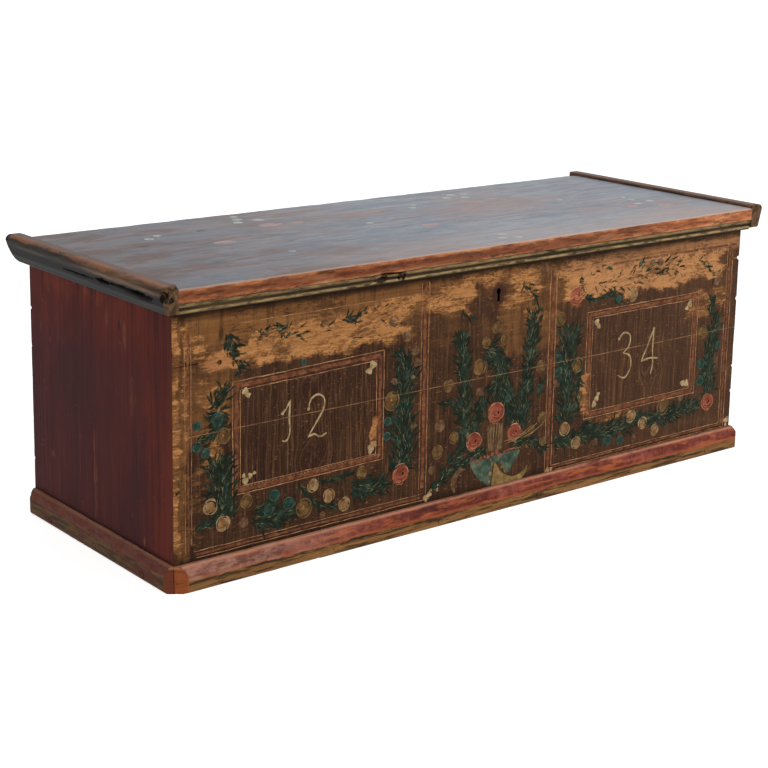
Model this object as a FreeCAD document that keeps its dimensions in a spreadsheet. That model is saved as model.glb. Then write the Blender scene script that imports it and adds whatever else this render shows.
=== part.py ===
import FreeCAD, Part
import math
import os
import Sketcher

# A painted pine blanket chest: a dovetailed box of wide boards, a nailed bottom with a
# moulding round its foot, and a flat lid held between two end cleats on iron strap hinges.
# Millimetres. X runs along the front, Y from the front to the back, Z up.
# The origin lies on the floor, under the middle of the whole chest.

doc = FreeCAD.newDocument("chest")
sheet = doc.addObject("Spreadsheet::Sheet", "Sizes")

# Every size that can be set by itself: its name, its value and what it is.
sizes = [
    ("carcass_length", "1260", "outside length of the dovetailed box"),
    ("carcass_depth", "446", "outside depth of the box, front to back"),
    ("board_thickness", "24", "front, back and side boards"),
    ("lower_board_height", "222", "lower board of each wall"),
    ("upper_board_height", "211", "upper board of each wall"),
    ("bottom_thickness", "20", "bottom boards"),
    ("pin_width", "9", "pin between two dovetails, at its narrow outer end"),
    ("pin_flare", "5", "how much a pin widens on each side towards its root"),
    ("base_height", "44", "foot moulding"),
    ("base_reach", "12", "how far the foot moulding stands out from the box"),
    ("base_bevel_drop", "23", "height of its sloping upper part"),
    ("base_ledge", "3.5", "flat left on top of the slope"),
    ("base_arris", "3", "worn lower edge"),
    ("lid_thickness", "22", "lid boards"),
    ("lid_gap", "0.4", "between the lid and the rim of the box"),
    ("lid_front_overhang", "22", "lid past the front of the box"),
    ("lid_back_overhang", "9", "lid boards past the back of the box"),
    ("lid_front_board_width", "176", "front lid board"),
    ("lid_back_board_width", "148", "back lid board"),
    ("lid_end_gap", "1.5", "between a side of the box and the cleat beside it"),
    ("lid_arris", "2.5", "rounding along the front upper edge of the lid"),
    ("strip_height", "15", "beaded strip under the front edge of the lid"),
    ("strip_gap", "1", "between that strip and the front of the box"),
    ("tongue_length", "13", "tongue on the end of a lid board"),
    ("tongue_thickness", "8", "the same tongue"),
    ("tongue_stop", "10", "tongue stops short of the lid edges"),
    ("cleat_thickness", "29", "cleat at its widest"),
    ("cleat_foot_thickness", "21", "cleat at its lower edge"),
    ("cleat_upstand", "6", "cleat above the lid boards"),
    ("cleat_top_radius", "9", "rounded upper outer edge"),
    ("cleat_inner_radius", "3", "rounded upper inner edge"),
    ("cleat_foot_radius", "4", "rounded lower outer edge"),
    ("cleat_back_reach", "22", "cleat past the back of the box"),
    ("cleat_heel_radius", "34", "quarter round at its lower back corner"),
    ("peg_radius", "4", "wooden peg through cleat and tongue"),
    ("peg_cover", "5", "wood left above a blind peg"),
    ("till_width", "128", "clear width of the till at the left end"),
    ("till_depth", "104", "clear depth of the till"),
    ("till_drop", "26", "from the rim of the box down to the till"),
    ("till_thickness", "10", "till boards"),
    ("housing_depth", "6", "grooves that hold the till boards"),
    ("keyhole_offset", "13", "keyhole to the right of the middle"),
    ("keyhole_drop", "64", "keyhole bow below the rim of the box"),
    ("keyhole_radius", "5", "bow of the keyhole"),
    ("keyhole_slot", "6", "width of its slot"),
    ("keyhole_height", "23", "whole height of the keyhole"),
    ("key_pin_reach", "6", "how far the key pin goes into the keyhole"),
    ("lock_plate_length", "146", "plate on the inner face of the front"),
    ("lock_plate_height", "96", "the same plate"),
    ("lock_plate_drop", "4", "from the rim down to the plate"),
    ("iron_thickness", "2.5", "lock plate and hinge leaves"),
    ("lock_case_length", "110", "box over the lock work"),
    ("lock_case_height", "84", "the same box"),
    ("lock_case_depth", "22", "the same box"),
    ("lock_case_wall", "1.6", "its sheet iron"),
    ("lock_case_ear", "14", "ear on each end of the box"),
    ("key_pin_radius", "2.2", "pin that a pipe key turns on"),
    ("lock_ear_margin", "10", "from the top and foot of the box to its ears"),
    ("staple_offset", "24", "eye to the right of the keyhole"),
    ("staple_play", "2.2", "room round the eye where it enters the lock"),
    ("staple_thickness", "6", "eye that hangs from the lid, along the chest"),
    ("staple_width", "15", "the same eye, front to back"),
    ("staple_drop", "34", "its length below the lid"),
    ("staple_wall", "4", "iron round the hole in the eye"),
    ("staple_hole_height", "15", "hole in the eye"),
    ("staple_foot_length", "58", "foot of the staple under the lid"),
    ("staple_foot_width", "30", "the same foot"),
    ("staple_foot_thickness", "2.6", "the same foot"),
    ("bolt_thickness", "4", "lock bolt, front to back"),
    ("bolt_height", "9", "nose of the bolt"),
    ("bolt_length", "42", "bolt from tail to nose"),
    ("bolt_rest_gap", "3", "from the drawn nose to the eye"),
    ("bolt_tail_drop", "16", "how far the tail hangs below the nose"),
    ("bolt_tail_length", "26", "the same tail"),
    ("bolt_notch", "7", "notch in the tail that the key works in"),
    ("bolt_throw", "16", "travel of the bolt"),
    ("sliding_gap", "0.4", "round moving iron parts"),
    ("keeper_width", "5", "straps that the bolt slides in"),
    ("keeper_thickness", "1.5", "the same straps"),
    ("spring_thickness", "0.8", "leaf spring over the bolt"),
    ("spring_length", "44", "the same spring"),
    ("spring_rise", "4", "bow of the same spring"),
    ("hinge_inset", "150", "from the end of the box to the middle of a hinge"),
    ("strap_thickness", "3", "hinge strap under the lid"),
    ("strap_length", "270", "from the pin to the tip of the strap"),
    ("strap_width", "34", "widest part of the strap"),
    ("strap_tip_width", "18", "strap just before its round tip"),
    ("strap_neck_width", "14", "part of the strap that crosses the back board"),
    ("strap_neck_margin", "4", "neck past the inner face of the back board"),
    ("strap_shoulder", "12", "length over which the neck widens"),
    ("pin_radius", "3", "hinge pin"),
    ("pin_running_gap", "0.06", "between the pin and the eye that turns on it"),
    ("pin_head_radius", "5", "riveted ends of the pin"),
    ("pin_head_thickness", "1.5", "the same ends"),
    ("knuckle_relief", "0.4", "fixed knuckles smaller than the turning eye"),
    ("knuckle_gap", "0.5", "between the eye and the back board or the leaf"),
    ("leaf_width", "37", "hinge leaf on the back"),
    ("leaf_height", "104", "the same leaf, below the pin"),
    ("nail_radius", "1.7", "shank of a forged nail"),
    ("nail_head_radius", "4", "head of a forged nail"),
    ("nail_head_thickness", "1.2", "the same head"),
    ("brad_radius", "1.1", "shank of a thin nail"),
    ("brad_head_radius", "2", "head of a thin nail"),
    ("nail_play", "0.05", "between a nail and its hole"),
    ("bottom_nail_length", "52", "nails up through the bottom boards"),
    ("base_nail_length", "38", "nails through the foot moulding"),
    ("iron_nail_length", "18", "nails that hold the hinges and the lock"),
    ("strip_brad_length", "30", "thin nails up through the beaded strip"),
    ("overrun", "5", "how far a cut runs past what it cuts"),
]

for row, (name, value, note) in enumerate(sizes, start=1):
    sheet.set(f"A{row}", name)
    sheet.set(f"B{row}", value)
    sheet.setAlias(f"B{row}", name)
    sheet.set(f"C{row}", note)
doc.recompute()


class Size:
    """A length with the sheet expression that it comes from."""

    def __init__(self, value, text):
        self.value = value
        self.text = text

    def joined(self, sign, other, value):
        right = other.text if isinstance(other, Size) else repr(other)
        return Size(value, f"({self.text} {sign} {right})")

    def __add__(self, other):
        return self.joined("+", other, self.value + number(other))

    def __sub__(self, other):
        return self.joined("-", other, self.value - number(other))

    def __mul__(self, other):
        return self.joined("*", other, self.value * number(other))

    def __truediv__(self, other):
        return self.joined("/", other, self.value / number(other))

    def __radd__(self, other):
        return Size(other + self.value, f"({other} + {self.text})")

    def __rsub__(self, other):
        return Size(other - self.value, f"({other} - {self.text})")

    def __neg__(self):
        return Size(-self.value, f"(-1 * {self.text})")


def number(length):
    return length.value if isinstance(length, Size) else length


def cell(name):
    return Size(float(sheet.get(name)), f"Sizes.{name}")


def bind(thing, prop, length):
    """Ties a property to the sheet; plain zero stays as it is."""
    if isinstance(length, Size):
        thing.setExpression(prop, length.text)


def new_body(name, x=0, y=0, z=0):
    body = doc.addObject("PartDesign::Body", name)
    body.Label = name
    body.AllowCompound = True
    bind(body, "Placement.Base.x", x)
    bind(body, "Placement.Base.y", y)
    bind(body, "Placement.Base.z", z)
    return body


def sketch_on(body, plane, name, offset=0):
    """A sketch on XY, XZ or YZ of the body, moved along that plane's own axis."""
    sketch = body.newObject("Sketcher::SketchObject", f"{body.Name}_{name}")
    role = f"{plane}_Plane"
    support = [f for f in body.Origin.OriginFeatures if f.Role == role][0]
    sketch.AttachmentSupport = (support, [""])
    sketch.MapMode = "FlatFace"
    bind(sketch, "AttachmentOffset.Base.z", -offset if plane == "XZ" and offset != 0 else offset)
    return sketch


def pin_point(sketch, geo, pos, x, y):
    """Holds one point of a sketch at x, y from its origin."""
    for kind, axis, length in (("DistanceX", -2, x), ("DistanceY", -1, y)):
        if isinstance(length, Size):
            index = sketch.addConstraint(Sketcher.Constraint(kind, -1, 1, geo, pos, length.value))
            sketch.setExpression(f"Constraints[{index}]", length.text)
        else:
            sketch.addConstraint(Sketcher.Constraint("PointOnObject", geo, pos, axis))


def arc_between(start, end, radius, turn):
    """The arc of a radius from start to end; turn is 1 anticlockwise and -1 clockwise."""
    chord = end - start
    middle = start + chord * 0.5
    rise = math.sqrt(max(radius ** 2 - (chord.Length / 2) ** 2, 0))
    side = FreeCAD.Vector(-chord.y, chord.x, 0).normalize()
    centre = middle + side * rise * turn
    first, last = (start, end) if turn > 0 else (end, start)
    angles = [math.atan2(p.y - centre.y, p.x - centre.x) for p in (first, last)]
    if angles[1] <= angles[0]:
        angles[1] += 2 * math.pi
    circle = Part.Circle(centre, FreeCAD.Vector(0, 0, 1), radius)
    return Part.ArcOfCircle(circle, angles[0], angles[1])


def outline(sketch, points, bends=None):
    """A closed outline through points; bends gives the edges that are arcs.

    An edge is named by the point it starts from, with its radius and its turn."""
    bends = bends or {}
    flat = [FreeCAD.Vector(number(x), number(y), 0) for x, y in points]
    edges = []
    for i, start in enumerate(flat):
        end = flat[(i + 1) % len(flat)]
        if i in bends:
            radius, turn = bends[i]
            geo = sketch.addGeometry(arc_between(start, end, number(radius), turn), False)
            edges.append((geo, 1, 2) if turn > 0 else (geo, 2, 1))
            index = sketch.addConstraint(Sketcher.Constraint("Radius", geo, number(radius)))
            sketch.setExpression(f"Constraints[{index}]", radius.text)
        else:
            geo = sketch.addGeometry(Part.LineSegment(start, end), False)
            edges.append((geo, 1, 2))
    for i, (geo, begin, finish) in enumerate(edges):
        next_geo, next_begin, unused = edges[(i + 1) % len(edges)]
        sketch.addConstraint(Sketcher.Constraint("Coincident", geo, finish, next_geo, next_begin))
        pin_point(sketch, geo, begin, *points[i])


def rectangle(sketch, x0, y0, x1, y1):
    outline(sketch, [(x0, y0), (x1, y0), (x1, y1), (x0, y1)])


def circles(sketch, centres, radius):
    for x, y in centres:
        centre = FreeCAD.Vector(number(x), number(y), 0)
        circle = Part.Circle(centre, FreeCAD.Vector(0, 0, 1), number(radius))
        geo = sketch.addGeometry(circle, False)
        index = sketch.addConstraint(Sketcher.Constraint("Radius", geo, number(radius)))
        sketch.setExpression(f"Constraints[{index}]", radius.text)
        pin_point(sketch, geo, 3, x, y)


def plane_of(sketch):
    return sketch.AttachmentSupport[0][0].Role[:2]


def pad(body, sketch, length, towards="+"):
    feature = body.newObject("PartDesign::Pad", f"{sketch.Name}_pad")
    feature.Profile = sketch
    feature.Reversed = (plane_of(sketch) == "XZ") == (towards == "+")
    bind(feature, "Length", length)
    body.Tip = feature
    return feature


def pocket(body, sketch, length=None, towards="+"):
    """Cuts to a depth, or right through both ways where no depth is given."""
    feature = body.newObject("PartDesign::Pocket", f"{sketch.Name}_pocket")
    feature.Profile = sketch
    if length is None:
        feature.Type = "ThroughAll"
        feature.Midplane = True
    else:
        feature.Reversed = (plane_of(sketch) == "XZ") != (towards == "+")
        bind(feature, "Length", length)
    body.Tip = feature
    return feature


def box(name, x, y, z, length, depth, height):
    """A plain board: its lowest corner, and its size along X, Y and Z."""
    body = new_body(name, x, y, z)
    sketch = sketch_on(body, "XY", "plan")
    rectangle(sketch, 0, 0, length, depth)
    pad(body, sketch, height)
    return body


def drill(body, plane, name, centres, radius, depth, offset=0, towards="+"):
    """Holes of one depth, from a plane of the body."""
    sketch = sketch_on(body, plane, name, offset)
    circles(sketch, centres, radius)
    pocket(body, sketch, depth, towards)


def nails(name, plane, centres, radius, length, head_radius, head_thickness, towards, x=0, y=0, z=0):
    """Like nails in one group. The head's outer face lies on the plane at x, y, z."""
    body = new_body(name, x, y, z)
    shanks = sketch_on(body, plane, "shanks")
    circles(shanks, centres, radius)
    pad(body, shanks, length, towards)
    heads = sketch_on(body, plane, "heads")
    circles(heads, centres, head_radius)
    pad(body, heads, head_thickness, towards)
    return body


# Places that the pieces share.
length = cell("carcass_length")
depth = cell("carcass_depth")
board = cell("board_thickness")
overrun = cell("overrun")
lid_front_overhang = cell("lid_front_overhang")
cleat_back_reach = cell("cleat_back_reach")
left = -length / 2
right = length / 2
front = (lid_front_overhang - depth - cleat_back_reach) / 2
back = front + depth
wall_base = cell("bottom_thickness")
lower_height = cell("lower_board_height")
upper_height = cell("upper_board_height")
seam = wall_base + lower_height
rim = seam + upper_height
lid_under = rim + cell("lid_gap")
nail_hole = cell("nail_radius") + cell("nail_play")
head_hole = cell("nail_head_radius") + cell("nail_play")
brad_hole = cell("brad_radius") + cell("nail_play")
brad_head_hole = cell("brad_head_radius") + cell("nail_play")


# The walls. Tails are cut on the ends of the front and back boards, and the side boards
# have the pins between them, so the corners are through dovetails. Each board has two
# whole pins, at unequal heights, and half a pin at its upper and its lower edge.
pin_width = cell("pin_width")
pin_flare = cell("pin_flare")
lower_pin_shares = [0.42, 0.65]
upper_pin_shares = [0.27, 0.64]


def tails(height, pin_shares):
    """The foot and the top of each tail at its wide outer end."""
    pins = [0] + [height * share for share in pin_shares] + [height]
    return [(foot + pin_width / 2, top - pin_width / 2) for foot, top in zip(pins, pins[1:])]


def long_board(name, y, z, height, pin_shares):
    """A front or back board with three tails on each end."""
    left_edge = [(board, 0)]
    for foot, top in tails(height, pin_shares):
        left_edge += [(board, foot + pin_flare), (0, foot), (0, top), (board, top - pin_flare)]
    left_edge.append((board, height))
    right_edge = [(length - x, h) for x, h in reversed(left_edge)]
    body = new_body(name, left, y, z)
    sketch = sketch_on(body, "XZ", "face")
    outline(sketch, left_edge + right_edge)
    pad(body, sketch, board)
    return body


def side_board(name, x, z, height, pin_shares, outer, inner):
    """A side board; outer and inner are where its two faces lie within its thickness."""
    body = new_body(name, x, front, z)
    face = sketch_on(body, "YZ", "face")
    rectangle(face, 0, 0, depth, height)
    pad(body, face, board)
    for end, offset, towards in (("front", 0, "+"), ("back", depth, "-")):
        sockets = sketch_on(body, "XZ", f"{end}_sockets", offset)
        for foot, top in tails(height, pin_shares):
            outline(sockets, [(outer, foot), (inner, foot + pin_flare),
                              (inner, top - pin_flare), (outer, top)])
        pocket(body, sockets, board, towards)
    return body


front_lower = long_board("front_lower_board", front, wall_base, lower_height, lower_pin_shares)
front_upper = long_board("front_upper_board", front, seam, upper_height, upper_pin_shares)
back_lower = long_board("back_lower_board", back - board, wall_base, lower_height, lower_pin_shares)
back_upper = long_board("back_upper_board", back - board, seam, upper_height, upper_pin_shares)
left_lower = side_board("left_lower_board", left, wall_base, lower_height,
                        lower_pin_shares, 0, board)
left_upper = side_board("left_upper_board", left, seam, upper_height,
                        upper_pin_shares, 0, board)
right_lower = side_board("right_lower_board", right - board, wall_base, lower_height,
                         lower_pin_shares, board, 0)
right_upper = side_board("right_upper_board", right - board, seam, upper_height,
                         upper_pin_shares, board, 0)


# The bottom: three long boards nailed up into the edges of the walls.
bottom_names = ["bottom_front_board", "bottom_middle_board", "bottom_back_board"]
bottom_width = depth / len(bottom_names)
bottoms = [box(name, left, front + bottom_width * i, 0, length, bottom_width, wall_base)
           for i, name in enumerate(bottom_names)]

end_shares = [0.28, 0.72]
long_shares = [0.12, 0.31, 0.5, 0.69, 0.88]
end_places = [(x, bottom_width * share) for x in (board / 2, length - board / 2)
              for share in end_shares]
front_places = [(length * share, board / 2) for share in long_shares]
back_places = [(length * share, bottom_width - board / 2) for share in long_shares]
places_by_board = [end_places + front_places, end_places, end_places + back_places]
for body, places in zip(bottoms, places_by_board):
    drill(body, "XY", "nail_holes", places, nail_hole, wall_base)
    drill(body, "XY", "head_sinks", places, head_hole, cell("nail_head_thickness"))

all_places = [(x, y + bottom_width * i if i else y)
              for i, places in enumerate(places_by_board) for x, y in places]
nails("bottom_nails", "XY", all_places, cell("nail_radius"), cell("bottom_nail_length"),
      cell("nail_head_radius"), cell("nail_head_thickness"), "+", left, front)

nail_bite = cell("bottom_nail_length") - wall_base
long_holes = [(length * share, board / 2) for share in long_shares]
side_holes = [(board / 2, bottom_width * (i + share))
              for i in range(len(bottom_names)) for share in end_shares]
for body in (front_lower, back_lower):
    drill(body, "XY", "nail_holes", long_holes, nail_hole, nail_bite)
for body in (left_lower, right_lower):
    drill(body, "XY", "nail_holes", side_holes, nail_hole, nail_bite)


# The foot moulding: a front and two side lengths, sloping on top and mitred at the front
# corners. The left corner is cut off flat, the right one only blunted. The side lengths
# are rounded off a little at the back.
base_height = cell("base_height")
base_reach = cell("base_reach")
base_arris = cell("base_arris")
base_drop = cell("base_bevel_drop")
slope_run = base_reach - cell("base_ledge")
slope_foot = base_height - base_drop
# The slope is an arc that meets the upright lower part without a corner.
slope_radius = (slope_run * slope_run + base_drop * base_drop) / (slope_run * 2)
# Where the cut starts on the front and on the side, inwards from the corner of the box.
left_cut_shares = [1.33, 0.67]
right_cut_shares = [-0.7, -0.7]
end_round_share = 0.35
end_round = base_reach * end_round_share
far_out = base_reach + overrun


def foot_section(sketch, out):
    """The section from the wall outwards; out is the sign of that way in the sketch."""
    outline(sketch, [(0, 0), (0, base_height), ((base_reach - slope_run) * out, base_height),
                     (base_reach * out, slope_foot), (base_reach * out, base_arris),
                     ((base_reach - base_arris) * out, 0)], {2: (slope_radius, -out)})


def mitre_end(cut_shares):
    """Where the cut across the corner meets the mitre, out from the corner of the box."""
    from_front, from_side = cut_shares
    return base_reach * (1 - from_front * from_side) / (from_front + from_side + 2)


def front_corner(out, x, cut_shares):
    """What is cut away at one end of the front length; out points off the chest."""
    cut = base_reach * cut_shares[0]
    mitre = mitre_end(cut_shares)
    return [(x, 0), (x, overrun), (x + far_out * out, overrun), (x + far_out * out, -far_out),
            (x - cut * out, -far_out), (x - cut * out, -base_reach), (x + mitre * out, -mitre)]


base_front = new_body("base_moulding_front", left, front)
section = sketch_on(base_front, "YZ", "section", -base_reach)
foot_section(section, -1)
pad(base_front, section, length + base_reach * 2)
corners = sketch_on(base_front, "XY", "corners")
outline(corners, front_corner(-1, 0, left_cut_shares))
outline(corners, front_corner(1, length, right_cut_shares))
pocket(base_front, corners)

base_left = new_body("base_moulding_left", left, front)
base_right = new_body("base_moulding_right", right, front)
for body, out, cut_shares in ((base_left, -1, left_cut_shares), (base_right, 1, right_cut_shares)):
    section = sketch_on(body, "XZ", "section", -base_reach)
    foot_section(section, out)
    pad(body, section, depth + base_reach)
    ends = sketch_on(body, "XY", "ends")
    cut = base_reach * cut_shares[1]
    mitre = mitre_end(cut_shares)
    outline(ends, [(0, 0), (overrun * -out, 0), (overrun * -out, -far_out),
                   (far_out * out, -far_out), (far_out * out, cut), (base_reach * out, cut),
                   (mitre * out, -mitre)])
    outline(ends, [(base_reach * out, depth - end_round), (far_out * out, depth - end_round),
                   (far_out * out, depth + overrun),
                   ((base_reach - end_round) * out, depth + overrun),
                   ((base_reach - end_round) * out, depth)], {4: (end_round, -out)})
    pocket(body, ends)

# Nails through the upright part of the moulding into the edges of the bottom boards.
base_nail_bite = cell("base_nail_length") - base_reach
front_nail_shares = [0.06, 0.235, 0.41, 0.59, 0.765, 0.94]
front_nail_places = [(length * share, wall_base / 2) for share in front_nail_shares]
drill(base_front, "XZ", "nail_holes", front_nail_places, nail_hole, base_reach, -base_reach)
drill(base_front, "XZ", "head_sinks", front_nail_places, head_hole,
      cell("nail_head_thickness"), -base_reach)
drill(bottoms[0], "XZ", "base_nail_holes", front_nail_places, nail_hole, base_nail_bite)
nails("base_nails_front", "XZ", front_nail_places, cell("nail_radius"),
      cell("base_nail_length"), cell("nail_head_radius"), cell("nail_head_thickness"), "+",
      left, front - base_reach)
side_nail_places = [(bottom_width * (i + 0.5), wall_base / 2) for i in range(len(bottoms))]
for body, out, x in ((base_left, -1, 0), (base_right, 1, length)):
    inward = "+" if out < 0 else "-"
    drill(body, "YZ", "nail_holes", side_nail_places, nail_hole, base_reach,
          base_reach * out, inward)
    drill(body, "YZ", "head_sinks", side_nail_places, head_hole,
          cell("nail_head_thickness"), base_reach * out, inward)
    nails("base_nails_left" if out < 0 else "base_nails_right", "YZ", side_nail_places,
          cell("nail_radius"), cell("base_nail_length"), cell("nail_head_radius"),
          cell("nail_head_thickness"), inward, (left if out < 0 else right) + base_reach * out,
          front)
    for bottom in bottoms:
        drill(bottom, "YZ", "nail_hole_" + ("left" if out < 0 else "right"),
              [(bottom_width / 2, wall_base / 2)], nail_hole, base_nail_bite, x, inward)


# The till: a small open compartment across the left end, let into grooves in the front
# and back boards.
till_width = cell("till_width")
till_board = cell("till_thickness")
housing = cell("housing_depth")
till_top = rim - cell("till_drop")
till_foot = till_top - cell("till_depth") - till_board
till_front = front + board - housing
till_span = depth - board * 2 + housing * 2
box("till_floor", left + board, till_front, till_foot, till_width, till_span, till_board)
box("till_wall", left + board + till_width, till_front, till_foot, till_board, till_span,
    till_top - till_foot)
for body, offset, towards in ((front_upper, board, "-"), (back_upper, 0, "+")):
    grooves = sketch_on(body, "XZ", "till_grooves", offset)
    outline(grooves, [(board, till_foot - seam), (board + till_width + till_board, till_foot - seam),
                      (board + till_width + till_board, till_top - seam),
                      (board + till_width, till_top - seam),
                      (board + till_width, till_foot + till_board - seam),
                      (board, till_foot + till_board - seam)])
    pocket(body, grooves, housing, towards)


# The lid: three boards side by side, with a stopped tongue on each end.
lid_thickness = cell("lid_thickness")
end_gap = cell("lid_end_gap")
lid_back_overhang = cell("lid_back_overhang")
lid_left = left - end_gap
lid_length = length + end_gap * 2
lid_depth = lid_front_overhang + depth + lid_back_overhang
lid_front = front - lid_front_overhang
front_board_width = cell("lid_front_board_width")
back_board_width = cell("lid_back_board_width")
tongue_length = cell("tongue_length")
tongue_foot = (lid_thickness - cell("tongue_thickness")) / 2
tongue_top = tongue_foot + cell("tongue_thickness")
tongue_stop = cell("tongue_stop")
peg_hole = cell("peg_radius") + cell("nail_play")


def lid_board(name, y, width, stop_before, stop_behind):
    body = new_body(name, lid_left, y, lid_under)
    plank = sketch_on(body, "XY", "plank")
    rectangle(plank, 0, 0, lid_length, width)
    pad(body, plank, lid_thickness)
    tongues = sketch_on(body, "XZ", "tongues", stop_before)
    rectangle(tongues, -tongue_length, tongue_foot, 0, tongue_top)
    rectangle(tongues, lid_length, tongue_foot, lid_length + tongue_length, tongue_top)
    pad(body, tongues, width - stop_before - stop_behind)
    drill(body, "XY", "peg_holes", [(-tongue_length / 2, width / 2),
                                    (lid_length + tongue_length / 2, width / 2)],
          peg_hole, lid_thickness)
    return body


middle_width = lid_depth - front_board_width - back_board_width
lid_back_front = lid_front + front_board_width + middle_width
lid_boards = [
    lid_board("lid_front_board", lid_front, front_board_width, tongue_stop, 0),
    lid_board("lid_middle_board", lid_front + front_board_width, middle_width, 0, 0),
    lid_board("lid_back_board", lid_back_front, back_board_width, 0, tongue_stop),
]
lid_arris = cell("lid_arris")
arris = sketch_on(lid_boards[0], "YZ", "arris")
outline(arris, [(-overrun, lid_thickness - lid_arris), (0, lid_thickness - lid_arris),
                (lid_arris, lid_thickness), (lid_arris, lid_thickness + overrun),
                (-overrun, lid_thickness + overrun)], {1: (lid_arris, -1)})
pocket(lid_boards[0], arris)


# The beaded strip under the front edge of the lid: an upper and a lower bead with a
# hollow between, set back a little towards its foot. Outwards and upwards, as shares.
strip_height = cell("strip_height")
strip_gap = cell("strip_gap")
strip_face_shares = [(0.93, 1), (0.9, 0.62), (0.82, 0.57), (0.82, 0.46), (0.85, 0.42),
                     (0.78, 0.07), (0.74, 0)]
bead_radius_share = 0.22
strip = new_body("lid_front_strip", lid_left, front, lid_under - strip_height)
section = sketch_on(strip, "YZ", "section")
strip_face = [(lid_front_overhang * -out, strip_height * up if up else 0)
              for out, up in strip_face_shares]
bead_radius = strip_height * bead_radius_share
outline(section, [(-strip_gap, 0), (-strip_gap, strip_height)] + strip_face,
        {2: (bead_radius, 1), 6: (bead_radius, 1)})
pad(strip, section, lid_length)

brad_shares = [0.04, 0.195, 0.35, 0.5, 0.65, 0.805, 0.96]
brad_out = (strip_gap + lid_front_overhang * strip_face_shares[-1][0]) / 2
brad_places = [(lid_length * share, -brad_out) for share in brad_shares]
board_brad_places = [(x, lid_front_overhang - brad_out) for x, y in brad_places]
drill(strip, "XY", "brad_holes", brad_places, brad_hole, strip_height)
drill(strip, "XY", "head_sinks", brad_places, brad_head_hole, cell("nail_head_thickness"))
drill(lid_boards[0], "XY", "brad_holes", board_brad_places, brad_hole,
      cell("strip_brad_length") - strip_height)
nails("strip_brads", "XY", brad_places, cell("brad_radius"), cell("strip_brad_length"),
      cell("brad_head_radius"), cell("nail_head_thickness"), "+", lid_left, front,
      lid_under - strip_height)


# The end cleats: they keep the lid flat and hang down past the sides like the strip does
# in front. Each is ploughed for the tongues and rounded off below its back end.
cleat_height = strip_height + lid_thickness + cell("cleat_upstand")
cleat_length = lid_front_overhang + depth + cleat_back_reach
cleat_thickness = cell("cleat_thickness")
cleat_foot = cell("cleat_foot_thickness")
top_radius = cell("cleat_top_radius")
inner_radius = cell("cleat_inner_radius")
foot_radius = cell("cleat_foot_radius")
heel_radius = cell("cleat_heel_radius")
peg_length = cleat_height - cell("peg_cover")
peg_rows = [front_board_width / 2, front_board_width + middle_width / 2,
            lid_depth - back_board_width / 2]

for name, out, x in (("left", -1, left - end_gap), ("right", 1, right + end_gap)):
    body = new_body(f"lid_cleat_{name}", x, lid_front, lid_under - strip_height)
    section = sketch_on(body, "XZ", "section")
    outline(section, [(0, 0), (0, cleat_height - inner_radius), (inner_radius * out, cleat_height),
                      ((cleat_thickness - top_radius) * out, cleat_height),
                      (cleat_thickness * out, cleat_height - top_radius),
                      (cleat_foot * out, foot_radius), ((cleat_foot - foot_radius) * out, 0)],
            {1: (inner_radius, -out), 3: (top_radius, -out), 5: (foot_radius, -out)})
    pad(body, section, cleat_length)
    heel = sketch_on(body, "YZ", "heel")
    outline(heel, [(cleat_length - heel_radius, 0), (cleat_length, heel_radius),
                   (cleat_length + overrun, heel_radius), (cleat_length + overrun, -overrun),
                   (cleat_length - heel_radius, -overrun)], {0: (heel_radius, 1)})
    pocket(body, heel)
    groove = sketch_on(body, "XZ", "groove", tongue_stop)
    rectangle(groove, -overrun * out, strip_height + tongue_foot, tongue_length * out,
              strip_height + tongue_top)
    pocket(body, groove, lid_depth - tongue_stop * 2)
    pegs = [(tongue_length / 2 * out, y) for y in peg_rows]
    drill(body, "XY", "peg_holes", pegs, peg_hole, peg_length)
    peg_body = new_body(f"cleat_pegs_{name}", x, lid_front, lid_under - strip_height)
    peg_sketch = sketch_on(peg_body, "XY", "pegs")
    circles(peg_sketch, pegs, cell("peg_radius"))
    pad(peg_body, peg_sketch, peg_length)


# The hinges: a strap nailed under the lid, with an eye that turns on a riveted pin
# between the two knuckles of a leaf nailed to the back of the box.
strap_thickness = cell("strap_thickness")
pin_radius = cell("pin_radius")
eye_radius = pin_radius + strap_thickness
knuckle_gap = cell("knuckle_gap")
hinge_y = back + knuckle_gap + eye_radius
hinge_z = lid_under - eye_radius
neck_width = cell("strap_neck_width")
neck_length = eye_radius + knuckle_gap + board + cell("strap_neck_margin")
strap_length = cell("strap_length")
strap_width = cell("strap_width")
strap_tip = cell("strap_tip_width")
tip_radius_share = 0.56
leaf_width = cell("leaf_width")
leaf_height = cell("leaf_height")
iron = cell("iron_thickness")
pin_hole = pin_radius + cell("nail_play")
eye_hole = pin_radius + cell("pin_running_gap")
head_thickness = cell("nail_head_thickness")
iron_nail = cell("iron_nail_length")
knuckle_start = neck_width / 2 + cell("sliding_gap")
notch_depth = strap_thickness - cell("lid_gap") + cell("sliding_gap")
strap_nail_shares = [0.24, 0.42, 0.6, 0.78, 0.93]
leaf_nail_share = 0.28
leaf_row_shares = [0.3, 0.84]
leaf_nails = [(leaf_width * side, -leaf_height * row)
              for side in (-leaf_nail_share, leaf_nail_share) for row in leaf_row_shares]
strap_nails = [(0, -strap_length * share) for share in strap_nail_shares]

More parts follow.
